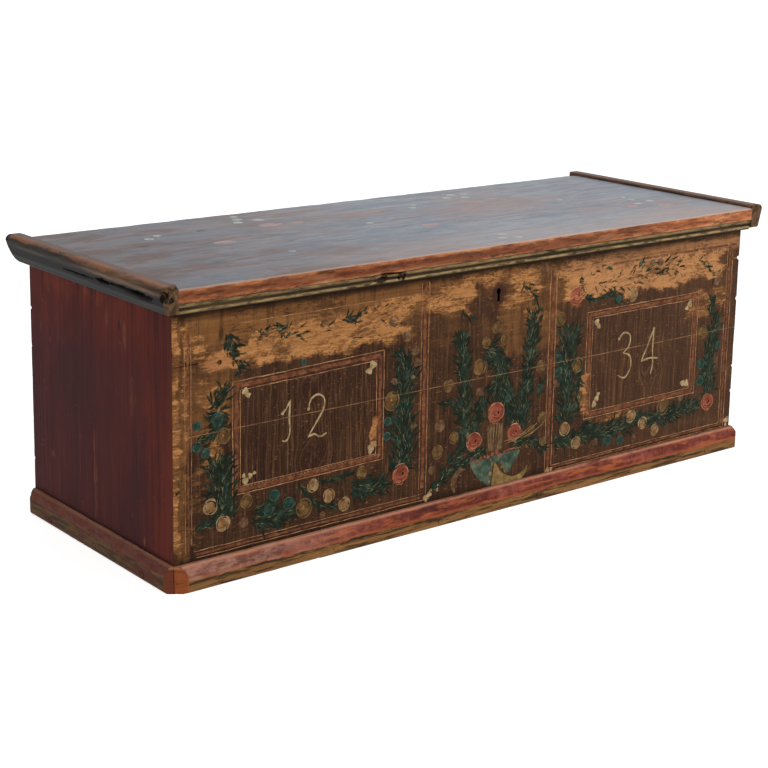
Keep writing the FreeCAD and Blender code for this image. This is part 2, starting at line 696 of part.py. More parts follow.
for name, x in (("left", left + cell("hinge_inset")), ("right", right - cell("hinge_inset"))):
    strap = new_body(f"hinge_strap_{name}", x, hinge_y, lid_under - strap_thickness)
    plan = sketch_on(strap, "XY", "plan")
    shoulder_end = neck_length + cell("strap_shoulder")
    tip_start = strap_length - strap_tip / 2
    outline(plan, [(neck_width / 2, 0), (neck_width / 2, -neck_length),
                   (strap_width / 2, -shoulder_end), (strap_tip / 2, -tip_start),
                   (-strap_tip / 2, -tip_start), (-strap_width / 2, -shoulder_end),
                   (-neck_width / 2, -neck_length), (-neck_width / 2, 0)],
            {3: (strap_tip * tip_radius_share, -1)})
    pad(strap, plan, strap_thickness)
    eye = sketch_on(strap, "YZ", "eye", -neck_width / 2)
    circles(eye, [(0, strap_thickness - eye_radius)], eye_radius)
    pad(strap, eye, neck_width)
    bore = sketch_on(strap, "YZ", "bore")
    circles(bore, [(0, strap_thickness - eye_radius)], eye_hole)
    pocket(strap, bore)
    drill(strap, "XY", "nail_holes", strap_nails, nail_hole, strap_thickness)

    leaf = new_body(f"hinge_leaf_{name}", x, back, hinge_z)
    plate = sketch_on(leaf, "XZ", "plate")
    rectangle(plate, -leaf_width / 2, -leaf_height, leaf_width / 2, 0)
    pad(leaf, plate, iron)
    for side, start in (("left", -leaf_width / 2), ("right", knuckle_start)):
        knuckle = sketch_on(leaf, "YZ", f"{side}_knuckle", start)
        circles(knuckle, [(knuckle_gap + eye_radius, 0)], eye_radius - cell("knuckle_relief"))
        pad(leaf, knuckle, leaf_width / 2 - knuckle_start)
    window = sketch_on(leaf, "XZ", "window")
    rectangle(window, -knuckle_start, -knuckle_gap - eye_radius, knuckle_start, overrun)
    pocket(leaf, window)
    bore = sketch_on(leaf, "YZ", "bore")
    circles(bore, [(knuckle_gap + eye_radius, 0)], pin_hole)
    pocket(leaf, bore)
    drill(leaf, "XZ", "nail_holes", leaf_nails, nail_hole, iron)

    pin = new_body(f"hinge_pin_{name}", x, hinge_y, hinge_z)
    shank = sketch_on(pin, "YZ", "shank", -leaf_width / 2 - cell("pin_head_thickness"))
    circles(shank, [(0, 0)], pin_radius)
    pad(pin, shank, leaf_width + cell("pin_head_thickness") * 2)
    for side, start, towards in (("left", -leaf_width / 2, "-"), ("right", leaf_width / 2, "+")):
        head = sketch_on(pin, "YZ", f"{side}_head", start)
        circles(head, [(0, 0)], cell("pin_head_radius"))
        pad(pin, head, cell("pin_head_thickness"), towards)

    nails(f"leaf_nails_{name}", "XZ", leaf_nails, cell("nail_radius"), iron_nail + head_thickness,
          cell("nail_head_radius"), head_thickness, "-", x, back + iron + head_thickness, hinge_z)
    nails(f"strap_nails_{name}", "XY", [(0, y + strap_length) for unused, y in strap_nails],
          cell("nail_radius"), iron_nail + head_thickness, cell("nail_head_radius"),
          head_thickness, "+", x, hinge_y - strap_length,
          lid_under - strap_thickness - head_thickness)

    # What the hinge needs in the wood: a notch in the rim and holes for its nails.
    notch = sketch_on(back_upper, "XZ", f"hinge_notch_{name}")
    rectangle(notch, x - left - knuckle_start, upper_height - notch_depth,
              x - left + knuckle_start, upper_height + overrun)
    pocket(back_upper, notch)
    drill(back_upper, "XZ", f"leaf_nail_holes_{name}",
          [(x - left + across, hinge_z - seam + up) for across, up in leaf_nails],
          nail_hole, iron_nail - iron, board, "-")
    for lid, y in zip(lid_boards, (lid_front, lid_front + front_board_width, lid_back_front)):
        width = {"lid_front_board": front_board_width, "lid_middle_board": middle_width,
                 "lid_back_board": back_board_width}[lid.Label]
        held = [(x - lid_left, hinge_y - strap_length * share - y) for share in strap_nail_shares]
        held = [place for place in held
                if -nail_hole.value < place[1].value < width.value + nail_hole.value]
        if held:
            drill(lid, "XY", f"strap_nail_holes_{name}", held, nail_hole,
                  iron_nail - strap_thickness)


# The lock: a plate and a box on the inner face of the front, a bolt that slides along
# the chest, and a staple under the lid whose eye comes down in front of the bolt.
lock_x = cell("keyhole_offset")
bow_z = rim - cell("keyhole_drop")
bow_radius = cell("keyhole_radius")
slot_half = cell("keyhole_slot") / 2
slot_foot = bow_radius - cell("keyhole_height")


def keyhole(body, x, z):
    """A round bow with a slot below it, right through the piece."""
    bow = sketch_on(body, "XZ", "keyhole_bow")
    circles(bow, [(x, z)], bow_radius)
    pocket(body, bow)
    slot = sketch_on(body, "XZ", "keyhole_slot")
    rectangle(slot, x - slot_half, z + slot_foot, x + slot_half, z)
    pocket(body, slot)


plate_length = cell("lock_plate_length")
plate_height = cell("lock_plate_height")
plate_y = front + board
plate_z = rim - cell("lock_plate_drop") - plate_height
case_length = cell("lock_case_length")
case_height = cell("lock_case_height")
case_depth = cell("lock_case_depth")
case_wall = cell("lock_case_wall")
case_ear = cell("lock_case_ear")
ear_margin = cell("lock_ear_margin")
case_y = plate_y + iron
case_z = plate_z + (plate_height - case_height) / 2
staple_x = lock_x + cell("staple_offset")
staple_y = case_y + cell("staple_play")
staple_thickness = cell("staple_thickness")
staple_width = cell("staple_width")
staple_drop = cell("staple_drop")
staple_wall = cell("staple_wall")
slot_room = staple_thickness / 2 + cell("staple_play")

lock_plate = box("lock_plate", lock_x - plate_length / 2, plate_y, plate_z,
                 plate_length, iron, plate_height)
keyhole(lock_plate, plate_length / 2, bow_z - plate_z)
keyhole(front_upper, lock_x - left, bow_z - seam)

lock_case = new_body("lock_case", lock_x - case_length / 2, case_y, case_z)
shell = sketch_on(lock_case, "XZ", "shell")
rectangle(shell, 0, 0, case_length, case_height)
pad(lock_case, shell, case_depth)
ears = sketch_on(lock_case, "XZ", "ears")
rectangle(ears, -case_ear, ear_margin, case_length + case_ear, case_height - ear_margin)
pad(lock_case, ears, case_wall)
hollow = sketch_on(lock_case, "XZ", "hollow")
rectangle(hollow, case_wall, case_wall, case_length - case_wall, case_height - case_wall)
pocket(lock_case, hollow, case_depth - case_wall)
mouth = sketch_on(lock_case, "XY", "mouth", case_height - case_wall)
mouth_x = case_length / 2 + cell("staple_offset")
rectangle(mouth, mouth_x - slot_room, 0, mouth_x + slot_room,
          staple_width + cell("staple_play") * 2)
pocket(lock_case, mouth, case_wall)

ear_places = [(x, z) for x in (-case_ear / 2, case_length + case_ear / 2)
              for z in (ear_margin * 2, case_height - ear_margin * 2)]
drill(lock_case, "XZ", "nail_holes", ear_places, nail_hole, case_wall)
case_from_plate = ((plate_length - case_length) / 2, case_z - plate_z)
drill(lock_plate, "XZ", "nail_holes",
      [(x + case_from_plate[0], z + case_from_plate[1]) for x, z in ear_places], nail_hole, iron)
case_from_board = (lock_x - case_length / 2 - left, case_z - seam)
drill(front_upper, "XZ", "lock_nail_holes",
      [(x + case_from_board[0], z + case_from_board[1]) for x, z in ear_places],
      nail_hole, iron_nail - iron - case_wall, board, "-")
nails("lock_nails", "XZ", ear_places, cell("nail_radius"), iron_nail + head_thickness,
      cell("nail_head_radius"), head_thickness, "-", lock_x - case_length / 2,
      case_y + case_wall + head_thickness, case_z)

key_pin = new_body("lock_key_pin", lock_x, case_y + case_depth - case_wall, bow_z)
shank = sketch_on(key_pin, "XZ", "shank")
circles(shank, [(0, 0)], cell("key_pin_radius"))
pad(key_pin, shank, case_depth - case_wall + iron + cell("key_pin_reach"), "-")

# The bolt, drawn back: a nose that goes through the eye and a tail that the key throws.
bolt_height = cell("bolt_height")
bolt_thickness = cell("bolt_thickness")
bolt_length = cell("bolt_length")
tail_drop = cell("bolt_tail_drop")
tail_length = cell("bolt_tail_length")
sliding_gap = cell("sliding_gap")
notch_half = cell("bolt_notch") / 2
eye_foot = lid_under - staple_drop + staple_wall
nose_foot = eye_foot + (cell("staple_hole_height") - bolt_height) / 2
bolt_x = staple_x - staple_thickness / 2 - cell("bolt_rest_gap") - bolt_length
bolt_y = staple_y + (staple_width - bolt_thickness) / 2
bolt = new_body("lock_bolt", bolt_x, bolt_y, nose_foot)
face = sketch_on(bolt, "XZ", "face")
outline(face, [(0, -tail_drop), (tail_length / 2 - notch_half, -tail_drop),
               (tail_length / 2 - notch_half, notch_half - tail_drop),
               (tail_length / 2 + notch_half, notch_half - tail_drop),
               (tail_length / 2 + notch_half, -tail_drop), (tail_length, -tail_drop),
               (tail_length, 0), (bolt_length, 0), (bolt_length, bolt_height), (0, bolt_height)])
pad(bolt, face, bolt_thickness)

# Two keepers on the plate, which the tail slides in.
keeper_width = cell("keeper_width")
keeper_thickness = cell("keeper_thickness")
keeper_reach = bolt_y + bolt_thickness - case_y + sliding_gap + keeper_thickness
keeper_inside = keeper_reach - keeper_thickness
keeper_foot = -tail_drop - sliding_gap
keeper_top = bolt_height + sliding_gap
keepers = new_body("lock_bolt_keepers", bolt_x, case_y, nose_foot)
first_keeper = tail_length - keeper_width - notch_half
second_keeper = tail_length + cell("bolt_throw") - keeper_width - sliding_gap
for side, start in (("first", first_keeper), ("second", second_keeper)):
    hoop = sketch_on(keepers, "YZ", f"{side}_hoop", start)
    outline(hoop, [(0, keeper_foot - keeper_thickness), (keeper_reach, keeper_foot - keeper_thickness),
                   (keeper_reach, keeper_top + keeper_thickness), (0, keeper_top + keeper_thickness),
                   (0, keeper_top), (keeper_inside, keeper_top), (keeper_inside, keeper_foot),
                   (0, keeper_foot)])
    pad(keepers, hoop, keeper_width)

# A bowed leaf spring, from the end of the box to the upper edge of the bolt.
spring_thickness = cell("spring_thickness")
spring_length = cell("spring_length")
spring_rise = cell("spring_rise")
spring_radius = (spring_length * spring_length / 4 + spring_rise * spring_rise) / (spring_rise * 2)
spring = new_body("lock_spring", lock_x - case_length / 2 + case_wall, bolt_y,
                  nose_foot + bolt_height + sliding_gap)
bow = sketch_on(spring, "XZ", "bow")
outline(bow, [(0, spring_rise), (spring_length, spring_rise),
              (spring_length, spring_rise + spring_thickness), (0, spring_rise + spring_thickness)],
        {0: (spring_radius, 1), 2: (spring_radius, -1)})
pad(spring, bow, bolt_thickness)

# The staple: an eye on a foot that is nailed up under the front lid board.
foot_length = cell("staple_foot_length")
foot_width = cell("staple_foot_width")
foot_thickness = cell("staple_foot_thickness")
staple = new_body("lid_staple", staple_x, staple_y, lid_under)
foot = sketch_on(staple, "XY", "foot")
rectangle(foot, -foot_length / 2, 0, foot_length / 2, foot_width)
pad(staple, foot, foot_thickness, "-")
eye = sketch_on(staple, "YZ", "eye", -staple_thickness / 2)
rectangle(eye, 0, -staple_drop, staple_width, 0)
pad(staple, eye, staple_thickness)
hole = sketch_on(staple, "YZ", "hole")
rectangle(hole, staple_wall, staple_wall - staple_drop, staple_width - staple_wall,
          staple_wall + cell("staple_hole_height") - staple_drop)
pocket(staple, hole)
staple_nail_share = 0.36
staple_places = [(foot_length * side, foot_width / 2)
                 for side in (-staple_nail_share, staple_nail_share)]
drill(staple, "XY", "nail_holes", staple_places, nail_hole, foot_thickness, 0, "-")
nails("staple_nails", "XY", staple_places, cell("nail_radius"), iron_nail + head_thickness,
      cell("nail_head_radius"), head_thickness, "+", staple_x, staple_y,
      lid_under - foot_thickness - head_thickness)
drill(lid_boards[0], "XY", "staple_nail_holes",
      [(staple_x - lid_left + x, staple_y - lid_front + y) for x, y in staple_places],
      nail_hole, iron_nail - foot_thickness)


doc.recompute()

# Nothing is written unless every feature worked, every cut took wood or iron away, and
# every piece is sound.
for thing in doc.Objects:
    if "Invalid" in thing.State or "Error" in thing.State:
        raise RuntimeError(f"{thing.Name} failed: {thing.State}")
    if thing.TypeId == "PartDesign::Pocket":
        if thing.Shape.Volume >= thing.BaseFeature.Shape.Volume:
            raise RuntimeError(f"{thing.Name} cuts nothing")

os.makedirs("parts", exist_ok=True)
for body in [thing for thing in doc.Objects if thing.TypeId == "PartDesign::Body"]:
    shape = body.Shape
    if shape.isNull() or not shape.isValid() or not shape.Solids:
        raise RuntimeError(f"{body.Label} is not a sound solid")
    shape.exportStep(f"parts/{body.Label}.step")
    print(f"{body.Label}: {len(shape.Solids)} solids, {shape.Volume:.0f} mm3")
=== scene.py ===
import math
import random

import bmesh
import bpy
from mathutils import Matrix, Vector, noise


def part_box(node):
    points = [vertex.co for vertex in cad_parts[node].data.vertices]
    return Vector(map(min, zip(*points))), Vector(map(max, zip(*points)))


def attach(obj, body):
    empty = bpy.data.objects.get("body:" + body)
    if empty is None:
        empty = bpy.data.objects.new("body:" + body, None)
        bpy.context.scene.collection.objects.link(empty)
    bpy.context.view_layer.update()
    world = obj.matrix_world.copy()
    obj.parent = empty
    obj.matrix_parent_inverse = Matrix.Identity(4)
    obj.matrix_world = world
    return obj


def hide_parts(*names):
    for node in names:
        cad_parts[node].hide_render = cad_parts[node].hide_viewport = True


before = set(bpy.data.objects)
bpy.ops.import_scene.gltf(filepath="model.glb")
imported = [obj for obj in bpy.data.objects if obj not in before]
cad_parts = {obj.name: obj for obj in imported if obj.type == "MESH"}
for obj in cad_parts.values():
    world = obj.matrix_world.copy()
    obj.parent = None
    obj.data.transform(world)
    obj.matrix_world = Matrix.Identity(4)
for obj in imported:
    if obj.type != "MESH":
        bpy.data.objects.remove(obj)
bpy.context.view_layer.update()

# The view of the chest: from a few steps away with a long lens, a little above the lid,
# with the painted front turned to the right and the red end to the left. The lens is set a
# little high in the frame, so that the upright edges stay nearly upright.
mm = 0.001
look_at = Vector((11.7 * mm, 85.7 * mm, 333.5 * mm))
eye_distance = 3173.9 * mm
eye_turn = math.radians(-38.66)
eye_rise = math.radians(12.56)
eye_tilt = math.radians(1.06)
eye_way = Vector((math.sin(eye_turn) * math.cos(eye_rise),
                  -math.cos(eye_turn) * math.cos(eye_rise), math.sin(eye_rise)))
camera_data = bpy.data.cameras.new("camera")
camera_data.sensor_width = 36.0
camera_data.lens = 81.34
camera_data.shift_y = -0.1224
camera = bpy.data.objects.new("camera", camera_data)
aim = (-eye_way).to_track_quat("-Z", "Y").to_matrix() @ Matrix.Rotation(eye_tilt, 3, "Z")
camera.location = look_at + eye_way * eye_distance
camera.rotation_euler = aim.to_euler()
bpy.context.scene.collection.objects.link(camera)
bpy.context.scene.camera = camera

# The box: eight wide pine boards, two to a wall, dovetailed at the corners. It was painted
# when it was together: the front dark brown and combed while wet, the ends oxblood red. Hands
# and cleaning have rubbed the front down to the wood, most of all below the lid.
front_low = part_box("front_lower_board")[0]
front_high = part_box("front_upper_board")[1]
front_face = front_low.y
front_left = front_low.x
front_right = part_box("front_lower_board")[1].x
back_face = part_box("back_lower_board")[1].y
seam_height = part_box("front_upper_board")[0].z
strip_low, strip_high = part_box("lid_front_strip")
strip_deepened = 1.25
strip_foot = strip_high.z - (strip_high.z - strip_low.z) * strip_deepened
paint_skin = 2.0 * mm


def paint(red, green, blue):
    """A colour, from 0 to 255, as light sees it."""
    steps = [value / 255 for value in (red, green, blue)]
    return tuple(v / 12.92 if v <= 0.04045 else ((v + 0.055) / 1.055) ** 2.4 for v in steps) + (1.0,)


class Coat:
    """One finish, built up from the wood, the colours and the wear that lie over each other.
    A ground is a finish that others are laid over."""

    def __init__(self, name, ground=False):
        if ground:
            self.tree = bpy.data.node_groups.new(name, "ShaderNodeTree")
        else:
            self.material = bpy.data.materials.new(name)
            self.material.use_nodes = True
            self.tree = self.material.node_tree
            self.tree.nodes.clear()
        self.place = self.node("TexCoord", {}).outputs["Object"]
        self.x, self.y, self.z = self.node("SeparateXYZ", {"Vector": self.place}).outputs

    def node(self, kind, feeds, **settings):
        made = self.tree.nodes.new("ShaderNode" + kind)
        for key, value in settings.items():
            setattr(made, key, value)
        for key, value in feeds.items():
            if isinstance(value, bpy.types.NodeSocket):
                self.tree.links.new(value, made.inputs[key])
            else:
                made.inputs[key].default_value = value
        return made

    def give(self, **results):
        """Hands on what a ground has come to, for the finishes that are laid over it."""
        end = self.tree.nodes.new("NodeGroupOutput")
        for name, result in results.items():
            kind = "NodeSocketColor" if result.type == "RGBA" else "NodeSocketFloat"
            self.tree.interface.new_socket(name, in_out="OUTPUT", socket_type=kind)
            self.tree.links.new(result, end.inputs[name])
        return self.tree

    def reckon(self, how, first, second=0.0, third=0.0):
        return self.node("Math", {0: first, 1: second, 2: third}, operation=how).outputs[0]

    def times(self, first, second):
        return self.reckon("MULTIPLY", first, second)

    def most(self, first, second):
        return self.reckon("MAXIMUM", first, second)

    def far(self, across, up):
        """How far a place is from a middle, from how far it is each way."""
        return self.reckon("SQRT", self.reckon("MULTIPLY_ADD", across, across, self.times(up, up)))

    def rise(self, value, low, high):
        """0 up to low, 1 from high on, and smooth between them."""
        feeds = {"Value": value, "From Min": low, "From Max": high}
        return self.node("MapRange", feeds, interpolation_type="SMOOTHSTEP").outputs[0]

    def fall(self, value, low, high):
        """1 up to low, 0 from high on."""
        return self.reckon("SUBTRACT", 1.0, self.rise(value, low, high))

    def within(self, value, low, high, soft):
        """1 between two places and 0 outside them."""
        return self.reckon("SUBTRACT", self.rise(value, low - soft, low + soft),
                           self.rise(value, high - soft, high + soft))

    def patch(self, across, up, left, right, foot, top, soft):
        """1 on a soft-edged rectangle of a face."""
        return self.times(self.within(across, left, right, soft),
                          self.within(up, foot, top, soft))

    def mottle(self, stretch, detail=5.0, rough=0.6, warp=0.0, shift=0.0):
        """Uneven patches: the larger a number of stretch, the finer they are along that axis."""
        moved = self.node("Mapping", {"Vector": self.place, "Scale": stretch,
                                      "Location": (shift, shift, shift)})
        feeds = {"Vector": moved.outputs[0], "Scale": 1.0, "Detail": detail,
                 "Roughness": rough, "Distortion": warp}
        return self.node("TexNoise", feeds).outputs[0]

    def waver(self, stretch, shift=0.0):
        """From about -1 to 1, to make the border of a stain uneven."""
        return self.reckon("MULTIPLY_ADD", self.mottle(stretch, 5.0, 0.62, 0.0, shift), 5.0, -2.5)

    def blend(self, first, share, second):
        """Two unevennesses in one, the first with the larger share."""
        return self.reckon("MULTIPLY_ADD", first, share, self.times(second, 1.0 - share))

    def lay(self, under, over, share):
        """One colour over another, which covers it where the share is 1."""
        feeds = {0: share, 6: under, 7: over}
        return self.node("Mix", feeds, data_type="RGBA", blend_type="MIX").outputs[2]

    def stain(self, under, colour, where, strength):
        """A colour in some places only, and at less than full strength."""
        return self.lay(under, paint(*colour), self.times(where, strength))

    def shades(self, value, *stops):
        ramp = self.node("ValToRGB", {"Fac": value})
        elements = ramp.color_ramp.elements
        while len(elements) < len(stops):
            elements.new(0.5)
        for element, (position, colour) in zip(elements, stops):
            element.position = position
            element.color = colour
        return ramp.outputs[0]

    def dry(self, colour, rough, height, depth, gloss=0.036, **more):
        """Lets the finish dry: its colour, its roughness and how deep its relief is."""
        relief = self.node("Bump", {"Height": height, "Distance": depth})
        feeds = {"Base Color": colour, "Roughness": rough, "Normal": relief.outputs[0],
                 "Specular IOR Level": gloss}
        feeds.update(more)
        surface = self.node("BsdfPrincipled", feeds)
        self.node("OutputMaterial", {"Surface": surface.outputs[0]})
        return self.material


def bare_pine(coat, stretch, shift=0.0):
    """Aged pine without paint. Stretch is small along the grain."""
    rings = coat.mottle(stretch, 3.0, 0.55, 0.8, shift)
    pores = coat.mottle([value * 4 for value in stretch], 4.0, 0.7, 0.2, shift)
    rings = coat.blend(rings, 0.7, pores)
    colour = coat.shades(rings, (0.32, paint(88, 54, 28)), (0.46, paint(134, 90, 50)),
                         (0.56, paint(164, 113, 66)), (0.70, paint(188, 138, 84)))
    return colour, rings


# Left, right, foot and top of the stretches where the brown has been rubbed away, and how far
# that has gone, in millimetres from the left end of the front and from the floor.
rubbed_stretches = [(46, 140, 330, 372, 0.94), (24, 62, 345, 400, 0.80), (126, 385, 328, 394, 1.00),
                    (370, 460, 332, 406, 0.96), (410, 530, 366, 412, 0.84), (505, 600, 352, 424, 0.84),
                    (560, 655, 395, 438, 0.80), (655, 745, 345, 432, 0.88), (700, 760, 325, 360, 0.74),
                    (785, 1225, 340, 412, 0.97), (775, 900, 380, 425, 0.84), (-8, 13, 58, 440, 0.80),
                    (14, 30, 236, 420, 0.74), (60, 100, 236, 322, 0.72), (50, 92, 180, 240, 0.76),
                    (40, 70, 270, 330, 0.72), (842, 872, 132, 214, 0.84), (1110, 1190, 268, 330, 0.70),
                    (372, 388, 160, 215, 0.80), (690, 770, 96, 112, 0.70), (870, 1000, 112, 126, 0.70),
                    (1160, 1228, 282, 330, 0.72), (118, 210, 60, 100, 0.40), (14, 60, 60, 200, 0.56)]
thin_stretches = [(-5, 480, 372, 460, 1.0), (480, 1265, 404, 460, 1.0), (-5, 130, 220, 400, 0.75),
                  (-5, 26, 40, 440, 0.8), (1100, 1265, 300, 430, 0.5), (395, 640, 300, 440, 0.55),
                  (40, 120, 235, 340, 0.8), (636, 800, 262, 440, 0.75)]
combed_panels = [(119, 384, 146, 309), (871, 1137, 138, 313)]
# The combing turns aside in figures like heartwood: where, how far and which way up.
comb_turns = [(262, 168, 44, -1.0), (1030, 196, 46, 1.0), (258, 286, 40, -1.0)]
# A knot up at the left with a crack running into it, a stain above it, and other small marks:
# from the left end, height, half width, half height, colour and strength.
front_marks = [(80, 348, 26, 11, (176, 118, 78), 0.6), (28, 353, 30, 1.5, (30, 18, 12), 0.9),
               (83, 350, 3.6, 3.6, (22, 14, 10), 0.95), (86, 394, 5, 13, (46, 32, 22), 0.7),
               (30, 338, 12, 2.5, (40, 26, 18), 0.6), (6, 157, 2.6, 2.6, (22, 14, 10), 0.95),
               (1101, 248, 3, 2, (24, 16, 12), 0.8), (1140, 424, 26, 4, (20, 14, 10), 0.7)]
key_pin_low, key_pin_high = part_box("lock_key_pin")
keyhole_below_pin = 7 * mm
keyhole_x = (key_pin_low.x + key_pin_high.x) / 2
keyhole_z = (key_pin_low.z + key_pin_high.z) / 2 - keyhole_below_pin


def worst_of(coat, stretches, widest, sideways, upward):
    """How far the paint has gone, from the worst of several stretches with wavering borders."""
    worst = None
    for left, right, foot, top, share in stretches:
        narrow = min(right - left, top - foot)
        soft = min(widest, narrow / 4) * mm
        across = coat.reckon("MULTIPLY_ADD", sideways, min(26, narrow / 3) * mm, coat.x)
        up = coat.reckon("MULTIPLY_ADD", upward, min(12, narrow / 5) * mm, coat.z)
        here = coat.patch(across, up, front_left + left * mm, front_left + right * mm,
                          foot * mm, top * mm, soft)
        here = coat.times(here, share)
        worst = here if worst is None else coat.most(worst, here)
    return worst


def combing(coat):
    """Upright hairlines drawn through the wet brown, turned aside in a few figures."""
    across = coat.x
    for centre_x, centre_z, reach, way in comb_turns:
        off_x = coat.reckon("SUBTRACT", coat.x, front_left + centre_x * mm)
        off_z = coat.reckon("SUBTRACT", coat.z, centre_z * mm)
        far = coat.far(off_x, off_z)
        near = coat.fall(far, reach * 0.3 * mm, reach * mm)
        # Nested arches: the line climbs away from the middle on both sides.
        arch = coat.reckon("MULTIPLY_ADD", coat.reckon("ABSOLUTE", off_x), 0.5,
                           coat.times(off_z, 0.4 * way))
        aside = coat.times(near, coat.reckon("SUBTRACT", arch, off_x))
        across = coat.reckon("ADD", across, aside)
    across = coat.reckon("MULTIPLY_ADD", coat.waver((9, 9, 14)), 2.2 * mm, across)
    turned = coat.node("CombineXYZ", {"X": coat.times(across, 190.0), "Y": 0.0,
                                      "Z": coat.times(coat.z, 4.0)})
    return coat.node("TexNoise", {"Vector": turned.outputs[0], "Scale": 1.0, "Detail": 5.0,
                                  "Roughness": 0.8}).outputs[0]


def painted_front():
    """The ground that everything on the front is painted over: its colour, how near it is to
    being bare, its relief, and the seam between its boards."""
    coat = Coat("painted_front", ground=True)
    wood, rings = bare_pine(coat, (5.0, 30.0, 95.0))
    comb = combing(coat)
    panels = 0.5
    for left, right, foot, top in combed_panels:
        inside = coat.patch(coat.x, coat.z, front_left + left * mm, front_left + right * mm,
                            foot * mm, top * mm, 1.0 * mm)
        panels = coat.most(panels, inside)
    brown = coat.shades(comb, (0.36, paint(40, 24, 18)), (0.49, paint(58, 37, 27)),
                        (0.59, paint(84, 57, 38)), (0.70, paint(122, 88, 58)))
    daubed = coat.blend(coat.mottle((60, 60, 7), 5.0, 0.7), 0.45, coat.mottle((14, 14, 26), 6.0, 0.7, 0.4))
    plain = coat.shades(daubed, (0.38, paint(38, 24, 17)), (0.50, paint(58, 38, 27)),
                        (0.63, paint(92, 63, 40)))
    brown = coat.lay(plain, brown, panels)
    # The right is a little lighter than the left.
    lighter_rightward = coat.times(coat.rise(coat.x, front_left + 300 * mm, front_right), 0.14)
    brown = coat.lay(brown, paint(118, 84, 58), lighter_rightward)
    # Where the brown lies thin the wood warms it.
    sideways = coat.waver((11, 11, 42))
    upward = coat.waver((26, 26, 14), 3.0)
    thin = worst_of(coat, thin_stretches, 22, sideways, upward)
    drift = coat.blend(coat.mottle((8, 8, 60), 7.0, 0.68, 0.0, 3.0), 0.5,
                       coat.mottle((110, 110, 8), 4.0, 0.7))
    thin = coat.rise(coat.reckon("ADD", thin, drift), 0.92, 1.52)
    glaze = coat.lay(wood, paint(116, 76, 44), 0.66)
    hairs = coat.rise(coat.mottle((150, 150, 9), 5.0, 0.74, 0.0, 15.0), 0.48, 0.62)
    glaze = coat.stain(glaze, (62, 41, 26), hairs, 0.6)
    colour = coat.lay(brown, glaze, thin)
    scrapes = coat.rise(coat.mottle((170, 170, 14), 4.0, 0.7, 0.0, 25.0), 0.56, 0.66)
    colour = coat.stain(colour, (122, 84, 54), scrapes, 0.5)
    # Flakes are long and ragged, as the wood gives way along its grain.
    flakes = coat.mottle((21, 21, 100), 9.0, 0.74, 0.5)
    crumbs = coat.blend(coat.mottle((64, 64, 210), 7.0, 0.76, 0.3, 7.0), 0.62,
                        coat.mottle((170, 170, 380), 5.0, 0.74, 0.0, 1.0))
    rubbed = coat.reckon("MULTIPLY_ADD", worst_of(coat, rubbed_stretches, 18, sideways, upward), 0.4,
                         coat.blend(flakes, 0.5, crumbs))
    colour = coat.lay(colour, glaze, coat.times(coat.rise(rubbed, 0.70, 0.80), 0.8))
    specks = coat.rise(coat.mottle((120, 120, 380), 6.0, 0.7, 0.0, 7.0), 0.59, 0.67)
    gone = coat.most(coat.rise(rubbed, 0.79, 0.845), coat.times(specks, 0.5))
    gone = coat.times(gone, coat.reckon("MULTIPLY_ADD", coat.rise(crumbs, 0.40, 0.49), 0.6, 0.4))
    bright = coat.lay(wood, paint(206, 144, 88), 0.55)
    bright = coat.lay(bright, paint(136, 88, 50),
                      coat.rise(coat.mottle((34, 34, 120), 7.0, 0.76, 0.4, 5.0), 0.5, 0.62))
    rightward = coat.rise(coat.x, front_left + 700 * mm, front_left + 900 * mm)
    # Towards the right the bare wood is painted paler: a painted sheen.
    bright = coat.stain(bright, (190, 138, 98), rightward, 0.32)
    colour = coat.lay(colour, bright, gone)
    # Up at the right the thin brown has been scrubbed to tan streaks.
    scrubbed = coat.times(rightward, coat.within(coat.z, 398 * mm, 428 * mm, 6 * mm))
    scrubbed = coat.times(scrubbed, coat.rise(coat.mottle((12, 12, 120), 8.0, 0.76, 0.3, 37.0), 0.40, 0.54))
    colour = coat.stain(colour, (172, 122, 84), scrubbed, 0.6)
    # Flecks of brown left on the bare wood, and of wood in the brown.
    crowd = coat.mottle((13, 13, 20), 3.0, 0.6, 0.0, 41.0)
    left_on = coat.reckon("ADD", coat.mottle((95, 95, 300), 6.0, 0.72, 0.4, 33.0), crowd)
    left_on = coat.times(coat.rise(left_on, 1.06, 1.13), coat.most(gone, thin))
    colour = coat.stain(colour, (64, 43, 28), left_on, 0.68)
    # Dirt, a painted shadow under the lid's overhang and its strip, and a darker band towards the foot.
    grime = coat.rise(coat.mottle((22, 22, 30), 8.0, 0.72, 0.0, 11.0), 0.5, 0.75)
    colour = coat.stain(colour, (50, 33, 22), grime, 0.4)
    drip = coat.reckon("MULTIPLY_ADD", coat.waver((24, 24, 60), 9.0), 3 * mm, coat.z)
    lid_shadow_and_foot_dark = coat.rise(drip, strip_foot - 20 * mm, strip_foot - 4 * mm)
    foot = coat.fall(drip, 46 * mm, 60 * mm)
    lid_shadow_and_foot_dark = coat.most(coat.times(lid_shadow_and_foot_dark, 0.88), coat.times(foot, 0.62))
    colour = coat.lay(colour, paint(34, 23, 16), lid_shadow_and_foot_dark)
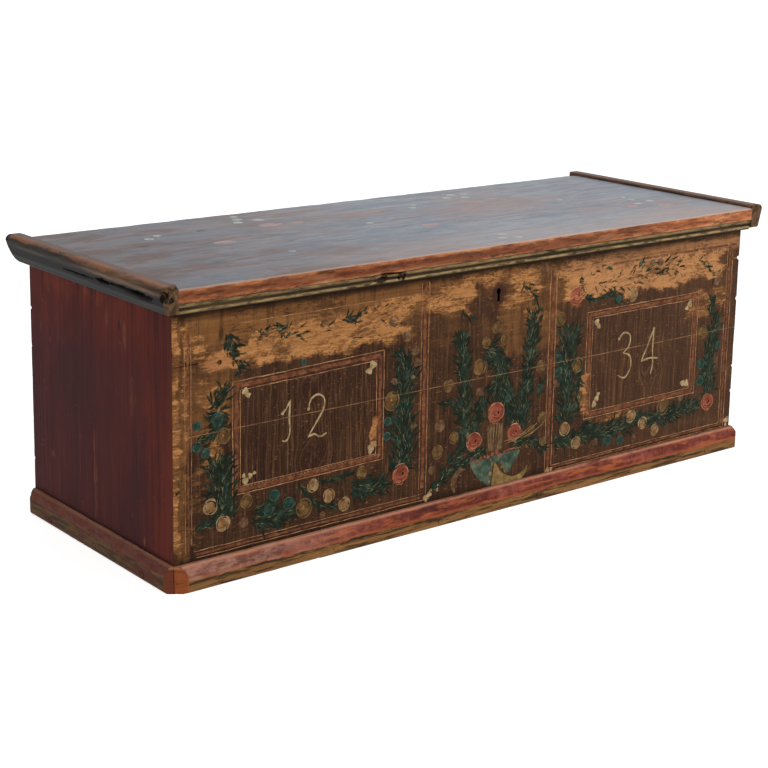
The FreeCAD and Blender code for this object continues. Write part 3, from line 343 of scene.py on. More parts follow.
    # Keys and fingers have darkened the wood round the keyhole. The painted shade inside the keyhole is laid
    # by the walls' finish.
    off_x = coat.reckon("SUBTRACT", coat.x, keyhole_x)
    off_z = coat.reckon("SUBTRACT", coat.z, keyhole_z)
    off_z = coat.times(off_z, 0.62)
    far = coat.far(off_x, off_z)
    far = coat.reckon("MULTIPLY_ADD", drift, 18 * mm, far)
    colour = coat.lay(colour, paint(62, 38, 28), coat.times(coat.fall(far, 20 * mm, 27 * mm), 0.9))
    for x, z, wide, high, mark_colour, share in front_marks:
        off_x = coat.times(coat.reckon("SUBTRACT", coat.x, front_left + x * mm), 1 / (wide * mm))
        off_z = coat.times(coat.reckon("SUBTRACT", coat.z, z * mm), 1 / (high * mm))
        far = coat.far(off_x, off_z)
        far = coat.reckon("MULTIPLY_ADD", coat.waver((70, 70, 70), x * 0.1), 0.3, far)
        mark = coat.times(coat.fall(far, 0.5, 1.1), share)
        colour = coat.lay(colour, paint(*mark_colour), mark)
    # The seam between the boards has opened and its edges are worn to the wood.
    chipped = coat.rise(coat.mottle((40, 40, 40), 4.0, 0.6, 0.0, 2.0), 0.34, 0.6)
    sagging = coat.reckon("MULTIPLY_ADD", coat.waver((5, 5, 5), 4.0), 0.8 * mm, coat.z)
    seam = coat.within(sagging, seam_height - 0.7 * mm, seam_height + 0.5 * mm, 0.4 * mm)
    seam = coat.times(seam, coat.reckon("MULTIPLY_ADD", chipped, 0.6, 0.15))
    colour = coat.lay(colour, paint(166, 124, 86), seam)
    relief = coat.reckon("MULTIPLY_ADD", gone, -0.35, coat.times(rings, 0.4))
    relief = coat.reckon("MULTIPLY_ADD", comb, 0.25, relief)
    return coat.give(Colour=colour, Rubbed=rubbed, Relief=relief, Seam=seam)


front_ground = painted_front()


# Marks on an end: how far in from the back, height, half width, half height, colour, strength.
end_marks = [(306, 368, 8, 22, (136, 88, 62), 0.5), (292, 388, 4, 8, (36, 20, 18), 0.8),
             (330, 272, 13, 38, (124, 74, 48), 0.55), (211, 136, 5, 104, (136, 74, 48), 0.75),
             (256, 392, 5, 20, (118, 72, 54), 0.4), (36, 334, 4, 14, (122, 56, 40), 0.6),
             (212, 420, 32, 16, (138, 66, 42), 0.5), (90, 418, 42, 22, (124, 56, 38), 0.45),
             (130, 290, 60, 90, (52, 27, 30), 0.4), (361, 58, 3, 8, (126, 78, 54), 0.6)]


def red_end(coat):
    """Oxblood brushed upright over a darker coat, dull, streaked, and purplish lower down."""
    streaks = coat.blend(coat.mottle((30, 34, 1.4), 5.0, 0.62, 0.1), 0.6,
                         coat.mottle((140, 150, 5), 4.0, 0.7))
    cloud = coat.mottle((6, 9, 5), 6.0, 0.62, 0.0, 5.0)
    red = coat.shades(coat.blend(streaks, 0.55, cloud), (0.38, paint(60, 21, 18)),
                      (0.48, paint(82, 29, 23)), (0.56, paint(98, 36, 27)), (0.68, paint(122, 60, 42)))
    wavering = coat.waver((24, 24, 12), 9.0)
    across = coat.reckon("MULTIPLY_ADD", wavering, 26 * mm, coat.y)
    up = coat.reckon("MULTIPLY_ADD", wavering, 30 * mm, coat.z)
    dusk = coat.times(coat.within(across, front_face + 60 * mm, back_face + 60 * mm, 50 * mm),
                      coat.fall(up, 300 * mm, 420 * mm))
    red = coat.stain(red, (56, 27, 32), dusk, 0.56)
    # It glows most below the cleat and along the front corner.
    glow = coat.rise(up, front_high.z - 74 * mm, front_high.z - 22 * mm)
    glow = coat.most(glow, coat.fall(across, front_face + 20 * mm, front_face + 90 * mm))
    glow = coat.times(glow, coat.rise(streaks, 0.40, 0.56))
    red = coat.stain(red, (112, 48, 33), glow, 0.42)
    # Scuffs, two knots that show through, and a long scrape down the middle.
    scuffs = coat.rise(coat.mottle((34, 40, 60), 8.0, 0.74, 0.0, 9.0), 0.62, 0.70)
    red = coat.stain(red, (132, 78, 56), scuffs, 0.45)
    for y, z, wide, high, colour, share in end_marks:
        off_y = coat.times(coat.reckon("SUBTRACT", coat.y, back_face - y * mm), 1 / (wide * mm))
        off_z = coat.times(coat.reckon("SUBTRACT", coat.z, z * mm), 1 / (high * mm))
        far = coat.far(off_y, off_z)
        far = coat.reckon("MULTIPLY_ADD", coat.waver((90, 90, 30), y * 0.1), 0.7, far)
        mark = coat.times(coat.fall(far, 0.3, 1.2), coat.rise(streaks, 0.40, 0.56))
        red = coat.lay(red, paint(*colour), coat.times(mark, share))
    scratches = coat.rise(coat.mottle((300, 330, 3), 2.0, 0.5, 0.0, 3.0), 0.66, 0.72)
    red = coat.stain(red, (134, 84, 62), scratches, 0.3)
    # A painted shadow under the cleat at the top, and darker towards the foot.
    cleat_shadow_and_foot_dark = coat.rise(coat.z, front_high.z - 18 * mm, front_high.z - 4 * mm)
    cleat_shadow_and_foot_dark = coat.most(cleat_shadow_and_foot_dark, coat.fall(coat.z, 46 * mm, 54 * mm))
    red = coat.stain(red, (32, 17, 14), cleat_shadow_and_foot_dark, 0.6)
    # The corner itself is rubbed to a dark brown line.
    corner = coat.fall(across, front_face + 3 * mm, front_face + 9 * mm)
    red = coat.stain(red, (88, 46, 30), corner, 0.5)
    return red, coat.reckon("MULTIPLY_ADD", scuffs, -0.4, streaks)


def wall_coat(name, grain, dust):
    """What is on a wall follows from which face it is: brown front, red ends, bare wood."""
    coat = Coat(name)
    front = coat.node("Group", {}, node_tree=front_ground).outputs
    red, streaks = red_end(coat)
    wood, rings = bare_pine(coat, grain, 4.0)
    grey = coat.rise(coat.mottle((9, 9, 9), 6.0, 0.65, 0.0, 6.0), 0.35, 0.7)
    wood = coat.lay(wood, paint(104, 84, 64), coat.times(grey, dust))
    # The sides of the keyhole are painted near black: painted shade.
    keyhole_shade = coat.patch(coat.x, coat.z, keyhole_x - 9 * mm, keyhole_x + 9 * mm, keyhole_z - 18 * mm,
                      keyhole_z + 18 * mm, 1 * mm)
    keyhole_shade = coat.times(keyhole_shade, coat.fall(coat.y, front_face + 20 * mm, front_face + 22 * mm))
    wood = coat.lay(wood, paint(12, 8, 6), keyhole_shade)
    inner = coat.within(coat.x, front_left + paint_skin, front_right - paint_skin, paint_skin / 2)
    colour = coat.lay(red, wood, inner)
    height = coat.node("Mix", {0: inner, 2: streaks, 3: rings}).outputs[0]
    ahead = coat.fall(coat.y, front_face + paint_skin * 0.4, front_face + paint_skin * 0.8)
    colour = coat.lay(colour, front["Colour"], ahead)
    height = coat.node("Mix", {0: ahead, 2: height, 3: front["Relief"]}).outputs[0]
    return coat.dry(colour, 0.5, height, 0.7 * mm)


def worn(node, coat, step, edge, rub, chips=(), seed=0, around=None):
    """A board as it is now: edges rubbed round and uneven, with chips and splits knocked in.

    A chip is a place in the row frame, its reach along each axis and how deep it goes. Around
    is the box of what was painted in one go: only the edges on its outside have worn."""
    low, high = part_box(node)

    def outside(place):
        if around is None:
            return True
        return sum(abs(place[axis] - side[axis]) < edge * 2 for side in around for axis in range(3)) > 1

    chips = [chip for chip in chips
             if all(low[axis] - chip[1][axis] < chip[0][axis] < high[axis] + chip[1][axis]
                    for axis in range(3))]
    shape = bmesh.new()
    shape.from_mesh(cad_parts[node].data)
    bmesh.ops.remove_doubles(shape, verts=shape.verts, dist=1e-6)
    bmesh.ops.dissolve_limit(shape, angle_limit=math.radians(1.0), verts=shape.verts,
                             edges=shape.edges)
    corners = [e for e in shape.edges
               if len(e.link_faces) == 2 and e.calc_face_angle() > math.radians(24)
               and outside((e.verts[0].co + e.verts[1].co) / 2)]
    bmesh.ops.bevel(shape, geom=corners, offset=edge, segments=2, profile=0.5,
                    affect="EDGES", clamp_overlap=True)
    # Faces round a keyhole or a housing are cut into triangles first, as a plane splits these cleanly.
    bmesh.ops.triangulate(shape, faces=[face for face in shape.faces if len(face.verts) > 4])
    for axis in range(3):
        cuts = []
        place = low[axis] + step
        while place < high[axis] - step / 2:
            cuts.append(place)
            place += step
        for centre, reach, depth in chips:
            cuts += [centre[axis] + reach[axis] * share / 3 for share in range(-3, 4)]
        cuts = sorted(c for c in cuts if low[axis] + edge < c < high[axis] - edge)
        cuts = [c for c, before in zip(cuts, [-1.0] + cuts) if c - before > 0.4 * mm]
        normal = [float(axis == i) for i in range(3)]
        for cut in cuts:
            point = [cut * n for n in normal]
            everything = shape.verts[:] + shape.edges[:] + shape.faces[:]
            bmesh.ops.bisect_plane(shape, geom=everything, dist=1e-7, plane_co=point, plane_no=normal)
    shape.normal_update()
    moves = []
    for vert in shape.verts:
        faces = vert.link_faces
        spread = max((faces[0].normal.angle(f.normal, 0.0) for f in faces), default=0.0)
        move = Vector((0.0, 0.0, 0.0))
        if spread > math.radians(12) and outside(vert.co):
            lump = noise.noise(vert.co * 21 + Vector((seed, 0, 0)))
            grit = noise.noise(vert.co * 90 + Vector((0, seed, 0)))
            move -= vert.normal * rub * max(0.0, 0.35 + lump + 0.5 * grit)
        for centre, reach, depth in chips:
            off = vert.co - Vector(centre)
            far = math.sqrt(sum((off[axis] / reach[axis]) ** 2 for axis in range(3)))
            near = 1 + 0.45 * noise.noise(vert.co * 140 + Vector((seed, seed, 0))) - far
            if near > 0:
                move -= vert.normal * depth * min(1.0, near * 2.2)
        moves.append(move)
    for vert, move in zip(shape.verts, moves):
        vert.co += move
    bmesh.ops.triangulate(shape, faces=shape.faces[:])
    mesh = bpy.data.meshes.new(node + "_worn")
    shape.to_mesh(mesh)
    shape.free()
    mesh.materials.append(coat)
    piece = bpy.data.objects.new(node + "_worn", mesh)
    bpy.context.scene.collection.objects.link(piece)
    return piece


# Knocks at the corner joints: height above the floor, reach and depth. Then a crack and a
# knot that has lost its heart, up at the left of the front, and a worm hole lower down.
right_knocks = [(378, 5.5, 4.6), (298, 4.6, 3.4), (165, 3.4, 2.4), (114, 3.4, 2.2)]
left_knocks = [(358, 4.0, 2.8), (293, 2.6, 1.4), (98, 3.0, 1.4)]
knocks = [((x, y, height * mm), (reach * mm, reach * mm, reach * 0.8 * mm), depth * mm)
          for x, y, heights in ((front_right, front_face, right_knocks),
                                (front_left, back_face, left_knocks))
          for height, reach, depth in heights]
knocks += [((front_left + 30 * mm, front_face, 356 * mm), (36 * mm, 3 * mm, 1.5 * mm), 3.0 * mm),
           ((front_left + 81 * mm, front_face, 350 * mm), (3.0 * mm, 3 * mm, 3.0 * mm), 5.0 * mm),
           ((front_left + 10 * mm, front_face, 160 * mm), (2.8 * mm, 3 * mm, 2.8 * mm), 5.0 * mm)]
whole_box = (front_low, Vector((front_right, back_face, front_high.z)))

brown_front = wall_coat("brown_combed_front", (5.0, 30.0, 95.0), 0.2)
oxblood_end = wall_coat("oxblood_end", (30.0, 5.0, 95.0), 0.2)
dusty_back = wall_coat("dusty_back", (5.0, 30.0, 90.0), 0.7)
for node, coat, paint_slot in (("front_lower_board", brown_front, "front_paint"),
                               ("front_upper_board", brown_front, "front_paint"),
                               ("left_lower_board", oxblood_end, "side_paint"),
                               ("left_upper_board", oxblood_end, "side_paint"),
                               ("right_lower_board", oxblood_end, "side_paint"),
                               ("right_upper_board", oxblood_end, "side_paint"),
                               ("back_lower_board", dusty_back, "back_wood"),
                               ("back_upper_board", dusty_back, "back_wood")):
    piece = worn(node, coat, 20 * mm, 0.8 * mm, 0.5 * mm, knocks, 7, whole_box)
    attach(piece, "carcass")
    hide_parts(node)

# The ornament: oil colours laid over the brown with round brushes, by hand and by eye. Each
# stroke stands a hair proud of the wood, and is cracked and rubbed like the paint under it.
brush_bed = 0.4


def on_front(across, up, out):
    """A place on the front: from its left end, above the floor and off the wood."""
    return (front_left + across * mm, front_face - out * mm, up * mm)


def curve(points, steps=8):
    """A smooth line through some points."""
    line = []
    padded = [points[0]] + list(points) + [points[-1]]
    for before, start, end, after in zip(padded, padded[1:], padded[2:], padded[3:]):
        for step in range(steps):
            t = step / steps
            line.append(tuple(0.5 * (2 * b + (c - a) * t + (2 * a - 5 * b + 4 * c - d) * t * t
                                     + (3 * b - a - 3 * c + d) * t ** 3)
                              for a, b, c, d in zip(before, start, end, after)))
    return line + [points[-1]]


class Brush:
    """A brush with one colour in it. Lengths are in millimetres."""

    def __init__(self, name, lift, seed, place=on_front):
        self.name = name
        self.place = place
        self.lift = lift
        self.luck = random.Random(seed)
        self.shape = bmesh.new()

    def vert(self, across, up, out):
        return self.shape.verts.new(self.place(across, up, out))

    def stroke(self, line, widths):
        """A pull of the brush along a line. Each width is half of what the brush covers."""
        lift = self.lift * self.luck.uniform(0.85, 1.15)
        rings = []
        for index, (across, up) in enumerate(line):
            before = line[max(index - 1, 0)]
            after = line[min(index + 1, len(line) - 1)]
            way = math.hypot(after[0] - before[0], after[1] - before[1])
            side = ((before[1] - after[1]) / way, (after[0] - before[0]) / way)
            at = index * (len(widths) - 1) / (len(line) - 1)
            lower, upper = widths[int(at)], widths[min(int(at) + 1, len(widths) - 1)]
            reach = lower + (upper - lower) * (at - int(at))
            rings.append([self.vert(across + side[0] * reach * out, up + side[1] * reach * out, height)
                          for out, height in ((-1, -brush_bed), (-0.6, lift), (0.6, lift), (1, -brush_bed))])
        for first, second in zip(rings, rings[1:]):
            for corner in range(4):
                other = (corner + 1) % 4
                self.shape.faces.new((first[corner], first[other], second[other], second[corner]))
        self.shape.faces.new(rings[0])
        self.shape.faces.new(rings[-1][::-1])

    def line(self, start, end, width):
        """A line pulled along a rule, a little unsteady, that thins and thickens."""
        count = max(2, round(math.dist(start, end) / 14))
        points = []
        for index in range(count + 1):
            share = index / count
            points.append(tuple(a + (b - a) * share + self.luck.uniform(-0.5, 0.5)
                                for a, b in zip(start, end)))
        self.stroke(points, [width / 2 * self.luck.uniform(0.7, 1.2) for point in points])

    def leaf(self, across, up, turn, length, width, bend):
        """One press of a pointed brush: it starts fine, swells and runs out."""
        line = []
        for step in range(6):
            share = step / 5
            heading = turn + bend * (share - 0.5)
            line.append((across + math.cos(heading) * length * share,
                         up + math.sin(heading) * length * share))
        self.stroke(line, [width * part / 2 for part in (0.2, 0.75, 1.0, 0.9, 0.5, 0.08)])

    def daub(self, across, up, radius, lobes=0, dent=0.0, squash=1.0, crown=0.66):
        """A round dab, with lobes where it is a flower. Crown is how wide its top is."""
        lift = self.lift * self.luck.uniform(0.85, 1.15)
        turn = self.luck.uniform(0, math.tau)
        count = 26 if radius > 5 else 12
        rim = []
        shoulder = []
        for index in range(count):
            angle = math.tau * index / count
            reach = radius * (1 - dent * (0.5 + 0.5 * math.cos(lobes * angle + turn)))
            reach *= self.luck.uniform(0.95, 1.05)
            step = (math.cos(angle) * reach * squash, math.sin(angle) * reach)
            rim.append(self.vert(across + step[0], up + step[1], -brush_bed))
            shoulder.append(self.vert(across + step[0] * crown, up + step[1] * crown, lift))
        middle = self.vert(across, up, lift * 1.2)
        for index in range(count):
            other = (index + 1) % count
            self.shape.faces.new((rim[index], rim[other], shoulder[other], shoulder[index]))
            self.shape.faces.new((shoulder[index], shoulder[other], middle))
        self.shape.faces.new(rim[::-1])

    def fill(self, outline):
        """A patch of paint inside an outline, pulled outwards from its middle."""
        middle = [sum(place[axis] for place in outline) / len(outline) for axis in (0, 1)]
        border = curve(outline + outline[:1], 5)[:-1]
        rim = [self.vert(across, up, -brush_bed) for across, up in border]
        shoulder = [self.vert(middle[0] + (across - middle[0]) * 0.88, middle[1] + (up - middle[1]) * 0.88,
                              self.lift) for across, up in border]
        top = self.vert(middle[0], middle[1], self.lift * 1.2)
        for index in range(len(border)):
            other = (index + 1) % len(border)
            self.shape.faces.new((rim[index], rim[other], shoulder[other], shoulder[index]))
            self.shape.faces.new((shoulder[index], shoulder[other], top))
        self.shape.faces.new(rim[::-1])

    def spray(self, stem, reach, thick, length, width, lean):
        """Leaves scattered on both sides of a stem and leaning along it. Thick is how many
        times over they cover their ground."""
        whole = sum(math.dist(a, b) for a, b in zip(stem, stem[1:]))
        count = round(thick * whole * reach * 2 / (length * width * 0.62))
        for index in range(count):
            along = self.luck.uniform(0, whole)
            for a, b in zip(stem, stem[1:]):
                part = math.dist(a, b)
                if along <= part:
                    break
                along -= part
            share = min(1.0, along / part)
            heading = math.atan2(b[1] - a[1], b[0] - a[0])
            off = self.luck.triangular(-1, 1, 0) * reach
            turn = heading + lean * (off / reach) * self.luck.uniform(0.6, 1.5) + self.luck.gauss(0, 0.25)
            across = a[0] + (b[0] - a[0]) * share - math.sin(heading) * off
            up = a[1] + (b[1] - a[1]) * share + math.cos(heading) * off
            size = self.luck.uniform(0.7, 1.25)
            back = length * size * 0.5
            self.leaf(across - math.cos(turn) * back, up - math.sin(turn) * back, turn, length * size,
                      width * self.luck.uniform(0.75, 1.2), self.luck.uniform(-0.7, 0.7))

    def dry(self, body, paint_slot, coat):
        """Turns what has been painted into a piece of the chest."""
        bmesh.ops.recalc_face_normals(self.shape, faces=self.shape.faces[:])
        bmesh.ops.triangulate(self.shape, faces=self.shape.faces[:])
        mesh = bpy.data.meshes.new(self.name)
        self.shape.to_mesh(mesh)
        self.shape.free()
        mesh.materials.append(coat)
        piece = bpy.data.objects.new(self.name, mesh)
        bpy.context.scene.collection.objects.link(piece)
        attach(piece, body)


def oil_colour(name, deep, middle, light, hold, thin=0.5, fine=70, body=0.16):
    """A colour of the ornament, uneven in itself. Hold is how much longer than the brown it has
    kept, thin how much of the ground shows through, and body how thick it must lie to cover."""
    coat = Coat(name)
    ground = coat.node("Group", {}, node_tree=front_ground).outputs
    drag = coat.mottle((fine, fine, fine), 5.0, 0.68, 0.3, len(name))
    colour = coat.shades(drag, (0.36, paint(*deep)), (0.5, paint(*middle)), (0.64, paint(*light)))
    holes = coat.rise(coat.mottle((85, 85, 190), 7.0, 0.74, 0.0, 4.0), 0.52, 0.62)
    lying = coat.reckon("SUBTRACT", front_face, coat.y)
    lying = coat.reckon("MULTIPLY_ADD", coat.waver((130, 130, 130), 5.0), body * 0.5 * mm, lying)
    cover = coat.rise(lying, 0.0, body * mm)
    cover = coat.times(cover, coat.reckon("MULTIPLY_ADD", holes, -thin, 1.0))
    cover = coat.times(cover, coat.fall(ground["Rubbed"], 0.808 + hold, 0.84 + hold))
    grime = coat.rise(coat.mottle((22, 22, 30), 8.0, 0.72, 0.0, 11.0), 0.5, 0.75)
    colour = coat.stain(colour, (50, 34, 24), grime, 0.3)
    colour = coat.lay(ground["Colour"], colour, cover)
    colour = coat.lay(colour, paint(166, 124, 86), coat.times(ground["Seam"], 0.8))
    return coat.dry(colour, 0.48, drag, 0.35 * mm)


# Ruled borders and frames: red-brown bands between thin cream lines round the two fields and
# round the panels for the year. The left panel's lowest band has a row of small light dashes.
left_frame = [(106, 134.6), (398, 138.7), (398, 322), (106, 315)]
left_inside = [(119.6, 147), (383.5, 150.5), (383, 307), (119.6, 300)]
right_frame = [(858, 126), (1151, 128), (1150, 324), (858, 323)]
right_inside = [(872, 138), (1137, 140), (1136, 312), (872, 311)]
ruled = [((32, 72), (32, 398), 1.5), ((40, 49), (500, 50), 1.7), ((36, 59.6), (480, 61), 1.7),
         ((476.5, 70), (475, 424), 1.7), ((491.5, 60), (490, 424), 1.9), ((117, 405), (478, 406), 1.5),
         ((766, 45), (764, 410), 2.6), ((781.5, 54), (779, 404), 2.6), ((772, 408), (1250, 409), 1.6),
         ((1228, 54), (1226, 396), 1.9), ((1242, 48), (1240, 400), 1.9), ((781, 54), (1228, 55), 1.9),
         ((790, 45), (1242, 46), 1.5), ((21, 60), (21, 402), 1.2)]
bands = [((484, 72), (482, 424), 10.0), ((773.5, 50), (771.5, 406), 9.5), ((772, 404), (1250, 405), 5.0),
         ((26.5, 60), (26.5, 400), 4.5), ((1235, 52), (1233, 398), 7.5), ((40, 54), (480, 55.5), 5.5),
         ((781, 50), (1236, 51), 5.0)]
red_bands = Brush("red_bands", 0.14, 31)
cream_lines = Brush("cream_lines", 0.24, 32)
for start, end, width in bands:
    red_bands.line(start, end, width)
for start, end, width in ruled:
    cream_lines.line(start, end, width)
for outside, inside in ((left_frame, left_inside), (right_frame, right_inside)):
    for index in range(4):
        other = (index + 1) % 4
        halfway = [tuple((a + b) / 2 for a, b in zip(outside[k], inside[k])) for k in (index, other)]
        red_bands.line(halfway[0], halfway[1], 10.0)
        cream_lines.line(outside[index], outside[other], 2.0)
        cream_lines.line(inside[index], inside[other], 1.8)
for index in range(42):
    across = 112 + index * 6.7
    cream_lines.stroke([(across, 143 + across * 0.012), (across + 3.4, 143.6 + across * 0.012)], [0.5, 0.7])
red_bands.dry("carcass", "front_paint",
              oil_colour("red_brown_band", (84, 46, 31), (114, 67, 46), (140, 92, 62), 0.012, 0.5, 90, 0.05))
cream_lines.dry("carcass", "front_paint",
                oil_colour("cream_line", (126, 86, 56), (164, 118, 80), (194, 150, 108),
                           0.02, 0.7, 70, 0.05))

# Cream daubs at the corners of the panels, and a plain number in two parts where such chests
# carry a year, written with the same brush.
corner_daubs = [(129, 297, 8), (134, 290, 6), (375, 301, 10), (368, 292, 8), (129, 154, 8), (126, 163, 6),
                (138, 161, 7), (146, 164, 4), (373, 160, 11), (379, 168, 7), (882, 302, 9), (888, 294, 7),
                (1127, 304, 9), (1119, 297, 6), (884, 150, 9), (890, 160, 8), (894, 168, 5),
                (1129, 150, 10), (1118, 152, 8), (492, 52, 9), (500, 57, 7), (503, 64, 4), (517, 62, 5),
                (518, 70, 3), (773, 46, 8), (782, 47, 6), (1252, 57, 9), (1250, 48, 6)]
numerals = [
    (211, 203, [[(-13, 47), (-6, 54), (2, 66)], [(2, 67), (0, 40), (1, 14), (-5, 2), (-14, 3)]]),
    (265, 199, [[(-17, 50), (-13, 64), (0, 71), (13, 63), (12, 46), (-3, 24), (-18, 4)],
                [(-18, 4), (-6, 7), (6, 1), (19, 5)]]),
    (957, 187, [[(-16, 76), (-4, 86), (12, 79), (11, 60), (-4, 48)],
                [(-4, 48), (14, 40), (17, 18), (3, 1), (-16, 8)]]),
    (1022, 182, [[(10, 88), (-6, 56), (-20, 30)], [(-20, 30), (0, 33), (24, 30)],
                 [(10, 88), (9, 50), (11, 20), (6, 2)]]),
]
cream_brush = Brush("cream_daubs", 0.4, 33)
for across, up, radius in corner_daubs:
    cream_brush.daub(across, up, radius, 3, 0.3, cream_brush.luck.uniform(0.8, 1.2))
number_brush = Brush("numerals", 0.4, 34)
for across, up, strokes in numerals:
    for points in strokes:
        pull = curve([(across + a, up + b) for a, b in points])
        number_brush.stroke(pull, [1.3, 2.0, 2.5, 2.1, 1.5, 1.9, 2.4, 1.8, 1.1])
    first = strokes[0][0]
    number_brush.daub(across + first[0], up + first[1], 4.0, 3, 0.2)
cream_paint = oil_colour("cream", (134, 108, 72), (168, 142, 102), (196, 172, 130), 0.06, 0.25, 90, 0.1)
cream_brush.dry("carcass", "front_paint", cream_paint)
number_brush.dry("carcass", "front_paint", cream_paint)

# Garlands of willow leaves in dark green and a bluer green, up both sides of each panel and
# under it, and two tall branches with a bush between them in the middle. Fine light strokes
# pick out single leaves.
branches = [
    ([(92, 104), (84, 150), (84, 205)], 21, 1.7), ([(40, 92), (70, 100), (96, 118)], 8, 1.5),
    ([(62, 272), (90, 258), (76, 245), (50, 232)], 13, 1.2), ([(74, 284), (100, 312)], 14, 0.8),
    ([(148, 84), (185, 80), (226, 90)], 15, 1.9), ([(150, 106), (190, 100)], 10, 1.0),
    ([(232, 124), (252, 100), (276, 82), (306, 77)], 4.5, 1.9),
    ([(268, 122), (342, 126)], 6, 0.7), ([(342, 104), (372, 92), (412, 96)], 16, 1.6),
    ([(430, 112), (444, 140), (440, 190), (438, 240), (446, 288)], 22, 1.9),
    ([(446, 285), (430, 318)], 14, 1.3),
    ([(582, 140), (571, 180), (572, 230), (568, 280), (562, 328)], 14, 2.0),
    ([(545, 104), (572, 122), (590, 152)], 13, 1.6),
    ([(505, 66), (540, 90), (590, 103), (622, 112)], 9, 1.8),
    ([(516, 212), (548, 208), (566, 196)], 8, 1.0),
    ([(712, 140), (712, 200), (722, 260), (729, 345)], 14, 1.9),
    ([(688, 114), (735, 108), (768, 86)], 10, 1.4),
    ([(700, 150), (684, 190), (672, 226)], 12, 1.3), ([(742, 190), (755, 215)], 8, 0.8),
    ([(622, 288), (652, 272), (660, 240), (636, 204)], 21, 1.6),
    ([(612, 204), (604, 168), (586, 140)], 15, 1.6),
    ([(660, 205), (676, 176), (686, 150)], 12, 1.3),
    ([(812, 132), (818, 172), (812, 218), (812, 262), (816, 306)], 23, 1.7),
    ([(846, 240), (842, 200), (838, 150)], 9, 1.0),
    ([(786, 96), (830, 92), (868, 98)], 15, 1.8), ([(862, 112), (898, 92), (940, 96), (988, 96)], 15, 1.7),
    ([(985, 104), (1030, 98), (1080, 96), (1130, 104), (1168, 98)], 14, 1.9),
    ([(1196, 118), (1188, 150), (1190, 200), (1200, 250), (1212, 272)], 16, 1.7),
    ([(1186, 278), (1196, 312)], 12, 0.6),
    ([(838, 392), (846, 356), (876, 344), (914, 350), (962, 358)], 5, 0.9),
    ([(926, 344), (940, 330)], 6, 1.3),
    ([(100, 386), (114, 352), (128, 332)], 11, 1.0), ([(150, 376), (172, 386)], 8, 1.1),
    ([(188, 392), (206, 380)], 9, 1.4), ([(318, 386), (338, 378), (362, 390)], 8, 0.8),
    ([(335, 350), (352, 346)], 5, 0.9), ([(862, 388), (884, 396)], 4, 0.6),
    ([(1044, 372), (1060, 368)], 5, 0.8),
    ([(876, 376), (950, 366), (1030, 382), (1110, 376)], 18, 0.26),
    ([(204, 372), (300, 382), (420, 388)], 13, 0.14),
    ([(1150, 384), (1190, 360), (1204, 330)], 10, 0.4), ([(560, 372), (590, 350)], 8, 0.4),
    ([(706, 396), (728, 366), (742, 340)], 9, 0.45),
]
dark_leaves = Brush("dark_leaves", 0.26, 41)
blue_leaves = Brush("blue_leaves", 0.34, 42)
leaf_lights = Brush("leaf_lights", 0.46, 43)
for stem, reach, thick in branches:
    if thick > 0.5:
        dark_leaves.stroke(curve(stem, 5), [reach * part for part in (0.25, 0.72, 0.84, 0.72, 0.25)])
    dark_leaves.spray(stem, reach * 1.42, thick * 1.05, 20, 5.8, 1.0)
    blue_leaves.spray(stem, reach * 1.4, thick * 0.24, 17, 4.6, 1.1)
    leaf_lights.spray(stem, reach * 1.2, thick * 0.03, 9, 1.0, 0.7)
dark_leaves.dry("carcass", "front_paint",
                oil_colour("dark_green", (18, 26, 19), (26, 35, 25), (38, 48, 34), 0.08, 0.45, 60, 0.1))
blue_leaves.dry("carcass", "front_paint",
                oil_colour("blue_green", (22, 38, 31), (32, 50, 41), (54, 70, 57), 0.08, 0.4, 60, 0.1))
leaf_lights.dry("carcass", "front_paint",
                oil_colour("leaf_light", (84, 84, 58), (116, 112, 80), (152, 140, 102), 0.06, 0.5, 70, 0.1))

# Flowers and buds: roses with a dark eye, cream flowers with a red heart, ochre and faded
# flowers in rubbed petals, and round teal buds. Most have light strokes round their rims.
roses = [(437, 106, 19), (596, 133, 18), (646, 175, 20), (690, 133, 17), (829, 357, 18), (1192, 104, 18)]
cream_flowers = [(65, 125, 14), (87, 94, 14), (258, 121, 12), (289, 98, 13), (320, 77, 12),
                 (971, 340, 13), (812, 116, 13), (842, 85, 13), (981, 111, 13), (1013, 92, 12),
                 (1048, 73, 12)]
ochre_flowers = [(131, 121, 13), (89, 233, 16), (415, 235, 19), (240, 87, 19), (355, 124, 13),
                 (551, 147, 12), (515, 128, 14), (755, 147, 12), (730, 130, 9), (759, 103, 10),
                 (1167, 243, 16), (1067, 114, 18), (838, 230, 16), (792, 320, 14), (850, 170, 12),
                 (604, 262, 17), (536, 240, 13), (642, 326, 12), (661, 303, 11), (619, 302, 12),
                 (747, 242, 13)]
faded_flowers = [(126, 87, 13), (277, 68, 9), (445, 339, 15), (417, 368, 16), (463, 312, 13),
                 (467, 291, 12), (462, 185, 10), (420, 266, 11), (278, 380, 13), (520, 173, 16),
                 (607, 218, 13), (504, 99, 12), (1040, 393, 12), (747, 418, 14), (1199, 341, 15),
                 (1220, 262, 10), (786, 203, 11), (1115, 122, 10), (1172, 68, 10), (992, 66, 10),
                 (890, 78, 12), (1211, 182, 9), (458, 268, 8)]
teal_buds = [(183, 120, 12), (172, 98, 12), (210, 101, 13), (407, 201, 9), (406, 176, 9), (42, 224, 10),
             (42, 257, 9), (57, 212, 10), (78, 262, 13), (907, 393, 10), (992, 394, 10), (1020, 394, 8),
             (922, 76, 12), (955, 70, 10), (790, 249, 10), (790, 224, 10), (1167, 182, 12),
             (1167, 149, 12), (1213, 212, 9), (935, 338, 8), (238, 326, 6), (672, 196, 7), (748, 205, 6)]
rose_brush = Brush("roses", 0.45, 51)
rose_lights = Brush("rose_lights", 0.62, 52)
cream_petals = Brush("cream_flowers", 0.45, 53)
ochre_petals = Brush("ochre_flowers", 0.42, 54)
